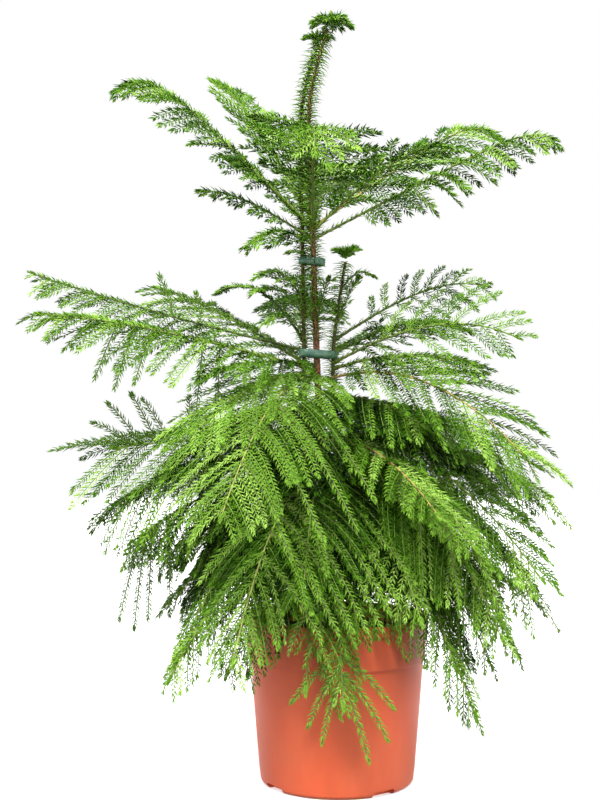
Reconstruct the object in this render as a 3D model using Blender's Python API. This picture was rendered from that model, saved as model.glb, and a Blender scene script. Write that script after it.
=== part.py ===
"""Potted Norfolk Island pine: a clump of three young stems in a round plastic nursery pot.

Metres, +Z up. The origin is the middle of the pot's flat underside, and the plant's
best side looks along -Y. Compass headings are in degrees: 0 is +X, 90 is +Y.
"""

from collections import namedtuple
from math import cos, pi, radians, sin
import random

import bmesh
import bpy
from mathutils import Matrix, Vector

# ---- Driving dimensions -------------------------------------------------------------

GAP = 0.0004               # clear space kept between neighbouring solids

POT_HEIGHT = 0.217
POT_RIM_RADIUS = 0.120     # a 24 cm pot
POT_FOOT_RADIUS = 0.1005
POT_WALL = 0.0028
POT_BASE = 0.0115          # thickness of the floor over the foot
RIM_DEPTH = 0.0135         # height of the rolled rim
RIM_STEP = 0.0026          # how far the rim stands out from the band below it
BAND_BOTTOM = 0.161        # height of the shoulder where the stacking band starts
BAND_STEP = 0.0020
FOOT_ROUND = 0.007
NOTCH_HEADINGS = (35, 125, 215, 305)   # drainage cut-outs round the foot
NOTCH_WIDTH = 0.034
NOTCH_HEIGHT = 0.008
NOTCH_DEPTH = 0.013
POT_SIDES = 40

SOIL_TOP = 0.197
SOIL_MOUND = 0.004         # how uneven the soil's outer part is

LIMB_SIDES = 6
STEM_SIDES = 8
MASS_SECTIONS = 8          # cross sections along one mass of foliage
MASS_LOBES = 0.16          # how much the mass's width goes in and out
MASS_SEED = 11

# A stem is a smooth line through its stations (x, y, z), with its radius at soil and tip.
Stem = namedtuple("Stem", "stations foot_radius tip_radius flare")
STEMS = {
    "trunk": Stem(
        ((-0.006, 0.000, SOIL_TOP + GAP), (-0.014, 0.001, 0.340), (-0.0225, 0.000, 0.470),
         (-0.0275, 0.000, 0.590), (-0.0320, 0.000, 0.730), (-0.0368, 0.000, 0.870),
         (-0.0290, 0.000, 0.926), (-0.0120, 0.000, 0.983)),
        0.0075, 0.0020, 0.005),
    "left_stem": Stem(
        ((-0.034, 0.014, SOIL_TOP + GAP), (-0.039, 0.010, 0.340), (-0.0415, 0.006, 0.470),
         (-0.0433, 0.004, 0.575), (-0.0448, 0.005, 0.680), (-0.0458, 0.010, 0.745),
         (-0.0470, 0.008, 0.870),
         (-0.0390, 0.007, 0.926), (-0.0240, 0.008, 0.974)),
        0.0045, 0.0016, 0.003),
    "right_stem": Stem(
        ((0.021, -0.004, SOIL_TOP + GAP), (0.008, -0.004, 0.340), (-0.0030, -0.003, 0.470),
         (-0.0045, -0.002, 0.560), (0.0020, -0.002, 0.620), (0.0115, -0.001, 0.682)),
        0.0050, 0.0020, 0.003),
}

# A frond is one bough with its foliage. Its rib leaves the stem at a height, runs out over
# its reach, would gain climb if it stayed straight, and loses sag to its own weight; curl
# says how late the sag sets in. The foliage starts after the bare part of the rib, is
# spread to each side, its edges fall below the rib, and roll (degrees) lifts its left side.
Frond = namedtuple("Frond", "stem height heading reach climb sag curl spread fall roll bare")
FRONDS = {
    # The top whorl: five long boughs that climb, and two lower ones.
    "top_left": Frond("trunk", 0.728, 186, 0.259, 0.232, 0.059, 7.0, 0.046, 0.036, -18, 0.20),
    "top_back_left": Frond("trunk", 0.736, 128, 0.190, 0.250, 0.020, 5.0, 0.060, 0.010, 0, 0.26),
    "top_left_low": Frond("trunk", 0.712, 172, 0.168, 0.120, 0.049, 3.3, 0.036, 0.024, -15, 0.24),
    "top_front": Frond("trunk", 0.730, 270, 0.250, 0.140, 0.100, 6.0, 0.074, 0.022, 0, 0.22),
    "top_right": Frond("trunk", 0.728, 18, 0.276, 0.186, 0.057, 7.0, 0.046, 0.020, 25, 0.22),
    "top_right_low": Frond("trunk", 0.712, 349, 0.318, 0.135, 0.035, 10.0, 0.044, 0.036, 10, 0.22),
    "top_back": Frond("trunk", 0.724, 82, 0.230, 0.170, 0.045, 5.0, 0.060, 0.022, 0, 0.22),
    # The middle whorls, nearly level.
    "middle_left": Frond("left_stem", 0.576, 190, 0.357, 0.110, 0.026, 6.0, 0.056, 0.034, -12, 0.24),
    "middle_left_low": Frond("trunk", 0.538, 199, 0.380, 0.095, 0.030, 3.0, 0.076, 0.062, 0, 0.18),
    "middle_left_twig": Frond("left_stem", 0.586, 163, 0.124, 0.090, 0.014, 3.0, 0.018, 0.004, 0, 0.30),
    "middle_right": Frond("right_stem", 0.578, 14, 0.226, 0.150, 0.064, 3.0, 0.042, 0.018, 20, 0.24),
    "middle_right_low": Frond("right_stem", 0.548, 344, 0.256, 0.120, 0.093, 2.7, 0.060, 0.030, 18, 0.20),
    "middle_back_right": Frond("right_stem", 0.560, 50, 0.300, 0.110, 0.060, 3.0, 0.060, 0.030, 0, 0.06),
    "middle_back": Frond("trunk", 0.600, 96, 0.300, 0.110, 0.060, 3.0, 0.058, 0.030, 0, 0.06),
    "middle_back_left": Frond("left_stem", 0.548, 140, 0.290, 0.150, 0.030, 3.0, 0.060, 0.028, 0, 0.06),
    # The low whorls: heavy boughs that arch and weep.
    "low_right": Frond("trunk", 0.523, 331, 0.344, 0.080, 0.205, 2.2, 0.082, 0.034, 20, 0.16),
    "low_front_left": Frond("trunk", 0.530, 247, 0.290, 0.000, 0.172, 1.5, 0.090, 0.060, 0, 0.16),
    "low_front_right": Frond("trunk", 0.456, 303, 0.250, 0.050, 0.105, 2.2, 0.054, 0.026, 0, 0.16),
    "low_left": Frond("trunk", 0.456, 188, 0.332, 0.010, 0.030, 2.0, 0.068, 0.030, -24, 0.10),
    "low_right_back": Frond("right_stem", 0.452, 9, 0.300, 0.030, 0.115, 2.0, 0.066, 0.044, 15, 0.06),
    "low_centre_right": Frond("right_stem", 0.415, 304, 0.240, 0.050, 0.150, 2.3, 0.054, 0.036, 0, 0.08),
    "low_back_left": Frond("left_stem", 0.485, 136, 0.300, 0.030, 0.130, 2.0, 0.062, 0.030, 0, 0.06),
    "low_back": Frond("trunk", 0.440, 97, 0.300, 0.040, 0.130, 2.0, 0.070, 0.036, 0, 0.06),
    "low_back_right": Frond("right_stem", 0.495, 50, 0.300, 0.040, 0.130, 2.0, 0.070, 0.036, 0, 0.06),
    # The skirt, which hangs round the pot in a high and a low ring by turns.
    "skirt_left": Frond("trunk", 0.405, 197, 0.300, 0.020, 0.110, 2.0, 0.050, 0.072, 0, 0.10),
    "skirt_left_front": Frond("trunk", 0.330, 222, 0.245, 0.040, 0.215, 2.0, 0.046, 0.036, 0, 0.12),
    "skirt_front_left": Frond("trunk", 0.385, 251, 0.245, 0.030, 0.225, 2.2, 0.050, 0.036, 0, 0.12),
    "skirt_front": Frond("trunk", 0.320, 274, 0.215, 0.060, 0.280, 2.0, 0.042, 0.030, 0, 0.14),
    "skirt_front_right": Frond("right_stem", 0.365, 299, 0.190, 0.040, 0.220, 2.2, 0.038, 0.024, 0, 0.14),
    "skirt_right_front": Frond("right_stem", 0.325, 322, 0.210, 0.060, 0.280, 2.0, 0.040, 0.026, 0, 0.14),
    "skirt_right": Frond("right_stem", 0.390, 346, 0.245, 0.030, 0.250, 2.2, 0.048, 0.036, 0, 0.10),
    "skirt_right_back": Frond("right_stem", 0.328, 25, 0.280, 0.040, 0.135, 2.0, 0.050, 0.040, 0, 0.12),
    "skirt_back_right": Frond("right_stem", 0.395, 54, 0.240, 0.030, 0.200, 2.2, 0.056, 0.036, 0, 0.10),
    "skirt_back": Frond("left_stem", 0.325, 88, 0.235, 0.050, 0.230, 2.0, 0.056, 0.036, 0, 0.12),
    "skirt_back_left": Frond("left_stem", 0.395, 128, 0.240, 0.030, 0.200, 2.2, 0.056, 0.036, 0, 0.10),
    "skirt_left_back": Frond("left_stem", 0.325, 164, 0.250, 0.040, 0.180, 2.0, 0.050, 0.040, 0, 0.12),
}
LIMB_RADIUS = 0.0026       # of a bough where it leaves the stem
LIMB_TAPER = 0.55
SHOWN_BARE = 0.15          # a bough is its own limb where this much of its rib is bare
MASS_THICKNESS = 0.026
MASS_NARROWEST = 0.10      # the foliage's least width, as a part of its full spread
MASS_SECTION = (           # a cross section's points: across and up, as parts of its half sizes
    (1, 0), (0.55, 0.75), (0, 1), (-0.55, 0.75),
    (-1, 0), (-0.5, -0.8), (0, -1), (0.5, -0.8),
)

# A tuft is the rosette of young needles round a leader's tip.
Tuft = namedtuple("Tuft", "centre width depth height")
TUFTS = {
    "leader_tuft": Tuft((-0.0125, 0.003, 0.9985), 0.068, 0.060, 0.030),
    "right_tuft": Tuft((0.0140, -0.001, 0.694), 0.036, 0.034, 0.022),
}

# A tie is a flat plastic band round neighbouring stems.
Tie = namedtuple("Tie", "left right y height depth width tilt")
TIES = {
    "upper_tie": Tie(-0.0505, -0.0150, 0.003, 0.683, 0.0190, 0.0095, 4),
    "lower_tie": Tie(-0.0500, 0.0025, 0.001, 0.560, 0.0210, 0.0105, 4),
}
TIE_THICKNESS = 0.0010
TIE_END_SIDES = 8

COLOURS = {
    "pot": (0.70, 0.13, 0.055),
    "soil": (0.045, 0.028, 0.018),
    "bark": (0.27, 0.075, 0.035),
    "rib": (0.42, 0.22, 0.07),
    "foliage": (0.11, 0.27, 0.03),
    "tie": (0.06, 0.16, 0.10),
}


# ---- Helpers ------------------------------------------------------------------------

def make_material(name, roughness):
    material = bpy.data.materials.new(name)
    material.use_nodes = True
    shader = material.node_tree.nodes["Principled BSDF"]
    shader.inputs["Base Color"].default_value = (*COLOURS[name], 1)
    shader.inputs["Roughness"].default_value = roughness
    shader.inputs["Metallic"].default_value = 0.0
    return material


def add_object(name, shape, material, smooth=True):
    """Puts a bmesh in the scene as one named object."""
    bmesh.ops.recalc_face_normals(shape, faces=shape.faces)
    mesh = bpy.data.meshes.new(name)
    shape.to_mesh(mesh)
    shape.free()
    if smooth:
        mesh.shade_smooth()
        mesh.set_sharp_from_angle(angle=radians(40))
    mesh.materials.append(material)
    part = bpy.data.objects.new(name, mesh)
    bpy.context.scene.collection.objects.link(part)
    return part


def loft(rings):
    """A closed solid through rings of points, each ring with the same count."""
    shape = bmesh.new()
    loops = [[shape.verts.new(point) for point in ring] for ring in rings]
    for near, far in zip(loops, loops[1:]):
        for i, corner in enumerate(near):
            after = (i + 1) % len(near)
            shape.faces.new((corner, near[after], far[after], far[i]))
    shape.faces.new(loops[0])
    shape.faces.new(loops[-1])
    return shape


def turned(profile, sides):
    """A closed solid of revolution. The profile starts and ends on the axis."""
    shape = bmesh.new()
    rings = []
    for radius, height in profile:
        if radius == 0:
            rings.append([shape.verts.new((0, 0, height))])
            continue
        turns = [2 * pi * i / sides for i in range(sides)]
        rings.append([shape.verts.new((radius * cos(t), radius * sin(t), height)) for t in turns])
    for near, far in zip(rings, rings[1:]):
        for i in range(sides):
            after = (i + 1) % sides
            if len(near) == 1:
                shape.faces.new((near[0], far[i], far[after]))
            elif len(far) == 1:
                shape.faces.new((near[i], near[after], far[0]))
            else:
                shape.faces.new((near[i], near[after], far[after], far[i]))
    return shape


def smooth_point(stations, place):
    """The point of a Catmull-Rom curve through stations, place running from 0 to 1."""
    spans = len(stations) - 1
    span = min(int(place * spans), spans - 1)
    t = place * spans - span
    before = Vector(stations[max(span - 1, 0)])
    start = Vector(stations[span])
    end = Vector(stations[span + 1])
    after = Vector(stations[min(span + 2, spans)])
    return 0.5 * (2 * start + (end - before) * t
                  + (2 * before - 5 * start + 4 * end - after) * t ** 2
                  + (3 * start - before - 3 * end + after) * t ** 3)


# ---- Pot and soil -------------------------------------------------------------------

def body_radius(height):
    """Outer radius of the pot's tapered side, up to the shoulder."""
    band_radius = POT_RIM_RADIUS - RIM_STEP - 0.0010
    shoulder_radius = band_radius - BAND_STEP - 0.0006
    return POT_FOOT_RADIUS + (shoulder_radius - POT_FOOT_RADIUS) * height / BAND_BOTTOM


def inner_radius(height):
    return body_radius(min(height, BAND_BOTTOM)) - POT_WALL + 0.012 * max(0, height - BAND_BOTTOM)


def make_pot(material):
    rim_bottom = POT_HEIGHT - RIM_DEPTH
    band_radius = POT_RIM_RADIUS - RIM_STEP
    corner = POT_FOOT_RADIUS - FOOT_ROUND
    profile = [(0, 0), (corner, 0)]
    for turn in (30, 60):
        angle = radians(turn)
        profile.append((corner + FOOT_ROUND * sin(angle), FOOT_ROUND * (1 - cos(angle))))
    profile += [
        (body_radius(FOOT_ROUND), FOOT_ROUND),
        (body_radius(BAND_BOTTOM), BAND_BOTTOM),
        (body_radius(BAND_BOTTOM) + BAND_STEP, BAND_BOTTOM + 0.0014),
        (band_radius, rim_bottom - 0.0005),
        (POT_RIM_RADIUS - 0.0005, rim_bottom),
        (POT_RIM_RADIUS, rim_bottom + 0.002),
        (POT_RIM_RADIUS, POT_HEIGHT - 0.0025),
        (POT_RIM_RADIUS - 0.0014, POT_HEIGHT - 0.0004),
        (POT_RIM_RADIUS - 0.0030, POT_HEIGHT),
        (POT_RIM_RADIUS - 0.0046, POT_HEIGHT - 0.0006),
        (inner_radius(POT_HEIGHT - 0.004), POT_HEIGHT - 0.004),
        (inner_radius(BAND_BOTTOM), BAND_BOTTOM),
        (inner_radius(POT_BASE), POT_BASE),
        (0, POT_BASE),
    ]
    pot = add_object("pot", turned(profile, POT_SIDES), material)
    for heading in NOTCH_HEADINGS:
        cutter = make_notch_cutter(heading)
        cut = pot.modifiers.new(cutter.name, "BOOLEAN")
        cut.operation = "DIFFERENCE"
        cut.solver = "EXACT"
        cut.object = cutter
    return pot


def make_notch_cutter(heading):
    shape = bmesh.new()
    bmesh.ops.create_cube(shape, size=1)
    reach = 2 * NOTCH_DEPTH
    bmesh.ops.scale(shape, vec=(reach, NOTCH_WIDTH, 2 * NOTCH_HEIGHT), verts=shape.verts)
    mesh = bpy.data.meshes.new(f"notch_{heading}")
    shape.to_mesh(mesh)
    shape.free()
    cutter = bpy.data.objects.new(mesh.name, mesh)
    bpy.context.scene.collection.objects.link(cutter)
    turn = radians(heading)
    cutter.location = (POT_FOOT_RADIUS * cos(turn), POT_FOOT_RADIUS * sin(turn), 0)
    cutter.rotation_euler = (0, 0, turn)
    cutter.hide_render = True
    cutter.display_type = "WIRE"
    return cutter


def make_soil(material):
    """The root ball: it fills the pot up to a little under the rim."""
    low = POT_BASE + GAP
    profile = [
        (0, low),
        (inner_radius(low) - GAP - 0.0002, low),
        (inner_radius(BAND_BOTTOM) - GAP - 0.0002, BAND_BOTTOM),
        (inner_radius(SOIL_TOP) - GAP - 0.0002, SOIL_TOP - SOIL_MOUND),
        (0.080, SOIL_TOP - 0.4 * SOIL_MOUND),
        (0.050, SOIL_TOP),
        (0, SOIL_TOP),
    ]
    return add_object("soil", turned(profile, POT_SIDES), material)


# ---- Stems and ties -----------------------------------------------------------------

def stem_radius(stem, height):
    foot = stem.stations[0][2]
    rise = (height - foot) / (stem.stations[-1][2] - foot)
    flare = stem.flare * max(0, 1 - (height - foot) / 0.035) ** 2
    return stem.foot_radius + (stem.tip_radius - stem.foot_radius) * rise ** 0.8 + flare


def stem_centre(stem, height):
    """Where the stem's axis passes a height, found by halving."""
    low, high = 0.0, 1.0
    for _ in range(24):
        middle = (low + high) / 2
        if smooth_point(stem.stations, middle).z < height:
            low = middle
        else:
            high = middle
    return smooth_point(stem.stations, low)


def make_stem(name, stem, material):
    """Level rings, so the cut at the soil is flat."""
    foot = stem.stations[0][2]
    top = stem.stations[-1][2]
    heights = [foot, foot + 0.012, foot + 0.032]
    steps = 11
    heights += [foot + 0.032 + (top - foot - 0.032) * i / steps for i in range(1, steps + 1)]
    rings = []
    for height in heights:
        centre = stem_centre(stem, height)
        radius = stem_radius(stem, height)
        turns = [2 * pi * i / STEM_SIDES for i in range(STEM_SIDES)]
        rings.append([(centre.x + radius * cos(t), centre.y + radius * sin(t), height) for t in turns])
    return add_object(name, loft(rings), material)


def make_tie(name, tie, material):
    """A stadium-shaped band, upright and closed."""
    half_depth = tie.depth / 2
    half_width = tie.width / 2

    def outline(inset, z):
        radius = half_depth - inset
        points = []
        for middle, start in ((tie.right - half_depth, -pi / 2), (tie.left + half_depth, pi / 2)):
            for i in range(TIE_END_SIDES + 1):
                turn = start + pi * i / TIE_END_SIDES
                points.append((middle + radius * cos(turn), tie.y + radius * sin(turn), z))
        return points

    rings = [outline(0, -half_width), outline(0, half_width),
             outline(TIE_THICKNESS, half_width), outline(TIE_THICKNESS, -half_width)]
    shape = bmesh.new()
    loops = [[shape.verts.new(point) for point in ring] for ring in rings]
    for near, far in zip(loops, loops[1:] + loops[:1]):
        for i, corner in enumerate(near):
            after = (i + 1) % len(near)
            shape.faces.new((corner, near[after], far[after], far[i]))
    middle_x = (tie.left + tie.right) / 2
    band = add_object(name, shape, material)
    band.data.transform(Matrix.Translation((-middle_x, 0, 0)))
    band.rotation_euler = (0, radians(tie.tilt), 0)
    band.location = (middle_x, 0, tie.height)
    return band


# ---- Boughs and foliage -------------------------------------------------------------

def rib_point(frond, s):
    """A point of the frond's rib: s is 0 on the stem's axis and 1 at the tip."""
    start = stem_centre(STEMS[frond.stem], frond.height)
    turn = radians(frond.heading)
    out = frond.reach * s
    lift = frond.climb * s - frond.sag * s ** frond.curl
    return start + Vector((out * cos(turn), out * sin(turn), lift))


def rib_frame(frond, s):
    """The rib's direction, its level sideways direction and the direction over it."""
    step = 0.002
    along = (rib_point(frond, s + step) - rib_point(frond, max(s - step, 0))).normalized()
    turn = radians(frond.heading)
    side = Vector((-sin(turn), cos(turn), 0))
    over = along.cross(side).normalized()
    return along, side, over


def bare_start(frond):
    """How far along the rib its limb clears the stem."""
    radius = stem_radius(STEMS[frond.stem], frond.height)
    return (radius + GAP + 0.0006) / frond.reach


def make_limb(name, frond, material):
    """One bough, tapering from its collar on the stem to where it enters the foliage."""
    start = bare_start(frond)
    end = frond.bare - GAP / frond.reach
    steps = 4
    rings = []
    for i in range(steps + 1):
        s = start + (end - start) * i / steps
        centre = rib_point(frond, s)
        along, side, over = rib_frame(frond, s)
        if i == 0:
            over = Vector((0, 0, 1))
        radius = LIMB_RADIUS * (1 - LIMB_TAPER * i / steps)
        turns = [2 * pi * k / LIMB_SIDES for k in range(LIMB_SIDES)]
        rings.append([centre + radius * (cos(t) * side + sin(t) * over) for t in turns])
    return add_object(f"{name}_bough", loft(rings), material)


def leaf_width(t):
    """The foliage's width along its rib, from 0 to 1: soon full, then tapering to the tip."""
    return max(MASS_NARROWEST, sin(pi * (0.07 + 0.88 * t ** 0.85)) ** 0.75)


def make_mass(name, frond, material, dice):
    """The frond's foliage: a thin arched pad with an uneven edge."""
    start = max(frond.bare, bare_start(frond) + 0.004 / frond.reach)
    rings = []
    for i in range(MASS_SECTIONS):
        t = i / (MASS_SECTIONS - 1)
        s = start + (1 - start) * t
        along, side, over = rib_frame(frond, s)
        centre = rib_point(frond, s)
        leaf = leaf_width(t)
        settled = min(1, 3 * t)    # the first section stands square on the bough
        lobe = 1 + MASS_LOBES * (1 if i % 2 else -1) * dice.uniform(0.3, 1)
        half = frond.spread * leaf * lobe
        thick = MASS_THICKNESS * (0.22 + 0.78 * leaf) * dice.uniform(0.85, 1.1) / 2
        drop = frond.fall * leaf * settled
        tilt = radians(frond.roll) * settled
        side, over = side * cos(tilt) + over * sin(tilt), over * cos(tilt) - side * sin(tilt)
        ring = []
        for across, up in MASS_SECTION:
            point = centre + side * half * across + over * thick * up
            point.z -= drop * abs(across) ** 1.5
            ring.append(point)
        rings.append(ring)
    return add_object(f"{name}_foliage", loft(rings), material, smooth=False)


def make_tuft(name, tuft, material, dice):
    """A flat rosette with an uneven edge."""
    shape = bmesh.new()
    bmesh.ops.create_icosphere(shape, subdivisions=2, radius=0.5)
    for corner in shape.verts:
        corner.co *= dice.uniform(0.88, 1.0)
        corner.co = Vector((corner.co.x * tuft.width, corner.co.y * tuft.depth,
                            corner.co.z * tuft.height)) + Vector(tuft.centre)
    return add_object(name, shape, material, smooth=False)


# ---- Assembly -----------------------------------------------------------------------

def main():
    for old in list(bpy.data.objects):
        bpy.data.objects.remove(old)
    pot_plastic = make_material("pot", 0.45)
    soil_crumb = make_material("soil", 0.95)
    bark = make_material("bark", 0.85)
    rib_skin = make_material("rib", 0.7)
    foliage = make_material("foliage", 0.55)
    tie_plastic = make_material("tie", 0.4)
    dice = random.Random(MASS_SEED)

    make_pot(pot_plastic)
    make_soil(soil_crumb)
    for name, stem in STEMS.items():
        make_stem(name, stem, bark)
    for name, tie in TIES.items():
        make_tie(name, tie, tie_plastic)
    for name, frond in FRONDS.items():
        if frond.bare > SHOWN_BARE:
            make_limb(name, frond, rib_skin)
        make_mass(name, frond, foliage, dice)
    for name, tuft in TUFTS.items():
        make_tuft(name, tuft, foliage, dice)


main()
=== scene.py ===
from math import cos, radians, sin, tau

import bmesh
import bpy
import numpy as np
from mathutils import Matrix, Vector


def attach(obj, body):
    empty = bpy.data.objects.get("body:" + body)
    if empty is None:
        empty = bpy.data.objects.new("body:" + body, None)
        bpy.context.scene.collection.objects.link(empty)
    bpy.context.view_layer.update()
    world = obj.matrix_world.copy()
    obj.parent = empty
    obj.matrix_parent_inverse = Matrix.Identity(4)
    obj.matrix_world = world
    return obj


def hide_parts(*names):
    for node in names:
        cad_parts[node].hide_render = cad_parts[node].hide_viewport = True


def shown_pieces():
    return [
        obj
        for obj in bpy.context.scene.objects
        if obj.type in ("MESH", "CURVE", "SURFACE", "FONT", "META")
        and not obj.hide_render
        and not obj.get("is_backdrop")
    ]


# A potted Norfolk Island pine: three young stems in one nursery pot, with tiers of feathery boughs.
# Metres, +Z up, with the origin under the middle of the pot. Headings are in degrees: 0 is +X, 90 is +Y.

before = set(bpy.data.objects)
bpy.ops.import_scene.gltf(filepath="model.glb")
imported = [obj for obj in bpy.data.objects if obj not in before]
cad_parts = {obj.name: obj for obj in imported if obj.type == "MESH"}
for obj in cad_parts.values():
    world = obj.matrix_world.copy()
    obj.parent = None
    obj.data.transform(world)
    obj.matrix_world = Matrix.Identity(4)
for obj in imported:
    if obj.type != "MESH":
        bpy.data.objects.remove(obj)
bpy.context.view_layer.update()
scene = bpy.context.scene
dice = np.random.default_rng(20)
print("frame:", len(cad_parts), "parts")

# Camera, floor and light

studio = {
    "eye": (-0.0485, -1.715, 0.4753),
    "aim": (-0.0485, 0.0, 0.4992),
    "lens": 58.37,             # with the sensor's 36 mm along the picture's height
    "floorSize": 12.0,
    "floorColour": (0.90, 0.90, 0.89),
    "floorGlow": 0.62,         # a table lit from below, which keeps the shadow faint
    "skyForCamera": 1.0,
    "skyForLight": 0.10,
    "groundForLight": 0.01,
    "horizon": 0.3,            # how far above and below it the one fades to the other
    "lamps": (                 # where it shines from, its spread in degrees and its strength
        ((-0.20, -0.85, 1.30), 16, 4.9),
        ((-1.60, -0.50, 0.30), 40, 1.2),
        ((1.60, -0.50, 0.30), 40, 1.2),
        ((0.20, -1.60, 0.30), 15, 0.6),
        ((-0.60, 1.50, 0.90), 40, 1.5),
        ((0.90, 1.20, 0.90), 40, 0.8),
    ),
}


def pointAt(thing, target):
    direction = Vector(target) - thing.location
    thing.rotation_euler = direction.to_track_quat("-Z", "Y").to_euler()


def makeCamera():
    camera = bpy.data.objects.new("camera", bpy.data.cameras.new("camera"))
    scene.collection.objects.link(camera)
    camera.data.lens = studio["lens"]
    camera.location = studio["eye"]
    pointAt(camera, studio["aim"])
    scene.camera = camera


def setSocket(tree, socket, value):
    # a socket is fed by another one, or holds a value
    if isinstance(value, bpy.types.NodeSocket):
        tree.links.new(value, socket)
    else:
        socket.default_value = value


def addNode(tree, kind, inputs):
    node = tree.nodes.new(f"ShaderNode{kind}")
    for name, value in inputs.items():
        setSocket(tree, node.inputs[name], value)
    return node


def rescaled(tree, value, fromLow, fromHigh, toLow, toHigh):
    inputs = {"Value": value, "From Min": fromLow, "From Max": fromHigh, "To Min": toLow, "To Max": toHigh}
    return addNode(tree, "MapRange", inputs).outputs["Result"]


def placeAlong(tree, place, axis):
    point = addNode(tree, "TexCoord", {}).outputs[place]
    return addNode(tree, "SeparateXYZ", {"Vector": point}).outputs[axis]


def makeLight():
    world = bpy.data.worlds.new("softRoom")
    scene.world = world
    world.use_nodes = True
    tree = world.node_tree
    background = tree.nodes["Background"]
    background.inputs["Color"].default_value = (1, 1, 1, 1)
    fade = rescaled(tree, placeAlong(tree, "Generated", "Z"), -studio["horizon"], studio["horizon"],
                    studio["groundForLight"], studio["skyForLight"])
    ray = addNode(tree, "LightPath", {})
    strength = addNode(tree, "Mix", {"A": fade, "B": studio["skyForCamera"],
                                     "Factor": ray.outputs["Is Camera Ray"]})
    setSocket(tree, background.inputs["Strength"], strength.outputs["Result"])
    for number, (place, spread, strength) in enumerate(studio["lamps"]):
        lamp = bpy.data.lights.new(f"softLamp{number}", "SUN")
        lamp.angle = radians(spread)
        lamp.energy = strength
        holder = bpy.data.objects.new(lamp.name, lamp)
        holder.location = place
        scene.collection.objects.link(holder)
        pointAt(holder, (0, 0, 0))
    scene.view_settings.view_transform = "Standard"


# Finishes

def newFinish(name, colour, roughness):
    finish = bpy.data.materials.new(name)
    finish.use_nodes = True
    shader = finish.node_tree.nodes["Principled BSDF"]
    shader.inputs["Base Color"].default_value = (*colour, 1)
    shader.inputs["Roughness"].default_value = roughness
    return finish


def shaderOf(finish):
    return finish.node_tree.nodes["Principled BSDF"]


def addNoise(finish, scale, detail=2.0, stretch=(1, 1, 1)):
    tree = finish.node_tree
    place = addNode(tree, "TexCoord", {}).outputs["Object"]
    mapping = addNode(tree, "Mapping", {"Vector": place, "Scale": stretch})
    noise = addNode(tree, "TexNoise", {"Vector": mapping.outputs["Vector"], "Scale": scale, "Detail": detail})
    return noise.outputs["Fac"]


def rampOf(finish, value, stops):
    ramp = addNode(finish.node_tree, "ValToRGB", {"Fac": value})
    marks = ramp.color_ramp.elements
    while len(marks) < len(stops):
        marks.new(0.5)
    for mark, (place, colour) in zip(marks, stops):
        mark.position = place
        mark.color = (*colour, 1)
    return ramp.outputs["Color"]


def veil(finish, pattern, start, end, most, under, over):
    # one colour over another, where the pattern is high
    mask = rampOf(finish, pattern, ((start, (0, 0, 0)), (end, (most, most, most))))
    mix = addNode(finish.node_tree, "Mix", {"Factor": mask})
    mix.data_type = "RGBA"
    colours = [socket for socket in mix.inputs if socket.type == "RGBA"]
    for socket, colour in zip(colours, (under, over)):
        isSocket = isinstance(colour, bpy.types.NodeSocket)
        setSocket(finish.node_tree, socket, colour if isSocket else (*colour, 1))
    return [socket for socket in mix.outputs if socket.type == "RGBA"][0]


def threeTones(finish, pattern, marks, colour, dark, light):
    # a colour with a darker and a lighter tone of it on either side
    tones = (shade(colour, dark), colour, shade(colour, light))
    return rampOf(finish, pattern, tuple(zip(marks, tones)))


def feedShader(finish, name, value):
    setSocket(finish.node_tree, shaderOf(finish).inputs[name], value)


def roughnessFrom(finish, value, low, high):
    feedShader(finish, "Roughness", rescaled(finish.node_tree, value, 0.3, 0.7, low, high))


def bumpFrom(finish, value, depth, strength=1.0):
    bump = addNode(finish.node_tree, "Bump", {"Height": value, "Strength": strength, "Distance": depth})
    feedShader(finish, "Normal", bump.outputs["Normal"])


def shade(colour, amount):
    return tuple(min(1, part * amount) for part in colour)


# Making pieces

def makePiece(name, points, faces, finish, slot, replaced=(), smooth=True):
    points = np.asarray(points, np.float32).reshape(-1, 3)
    faces = np.asarray(faces, np.int32)
    mesh = bpy.data.meshes.new(name)
    mesh.vertices.add(len(points))
    mesh.vertices.foreach_set("co", points.ravel())
    mesh.loops.add(faces.size)
    mesh.loops.foreach_set("vertex_index", faces.ravel())
    mesh.polygons.add(len(faces))
    mesh.polygons.foreach_set("loop_start", np.arange(0, faces.size, faces.shape[1], dtype=np.int32))
    mesh.update(calc_edges=True)
    mesh.polygons.foreach_set("use_smooth", np.full(len(faces), smooth))
    mesh.materials.append(finish)
    piece = bpy.data.objects.new(name, mesh)
    scene.collection.objects.link(piece)
    return settlePiece(piece, replaced)


def settlePiece(piece, replaced=()):
    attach(piece, "root")
    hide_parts(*replaced)
    return piece


def joined(shapes):
    points, faces, count = [], [], 0
    for shapePoints, shapeFaces in shapes:
        points.append(shapePoints)
        faces.append(shapeFaces + count)
        count += len(shapePoints)
    return np.concatenate(points), np.concatenate(faces)


def unit(vectors):
    return vectors / np.maximum(np.linalg.norm(vectors, axis=-1, keepdims=True), 1e-9)


def dot(first, second):
    return (first * second).sum(-1, keepdims=True)


def jitter(most, count):
    return dice.uniform(-most, most, count)


def turnedFrom(first, second, angles):
    # the direction at each angle from the first one towards the second
    return np.cos(angles) * first + np.sin(angles) * second


def grownPaths(starts, lengths, points, wayAt):
    # paths that take equal steps, each in the way that holds at that share of their length
    path = np.empty((len(lengths), points, 3))
    path[:, 0] = starts
    for k in range(1, points):
        way = unit(wayAt((k - 0.5) / (points - 1)))
        path[:, k] = path[:, k - 1] + way * (lengths / (points - 1))[:, None]
    return path


def directionsOf(paths):
    return unit(np.gradient(paths, axis=-2))


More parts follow.
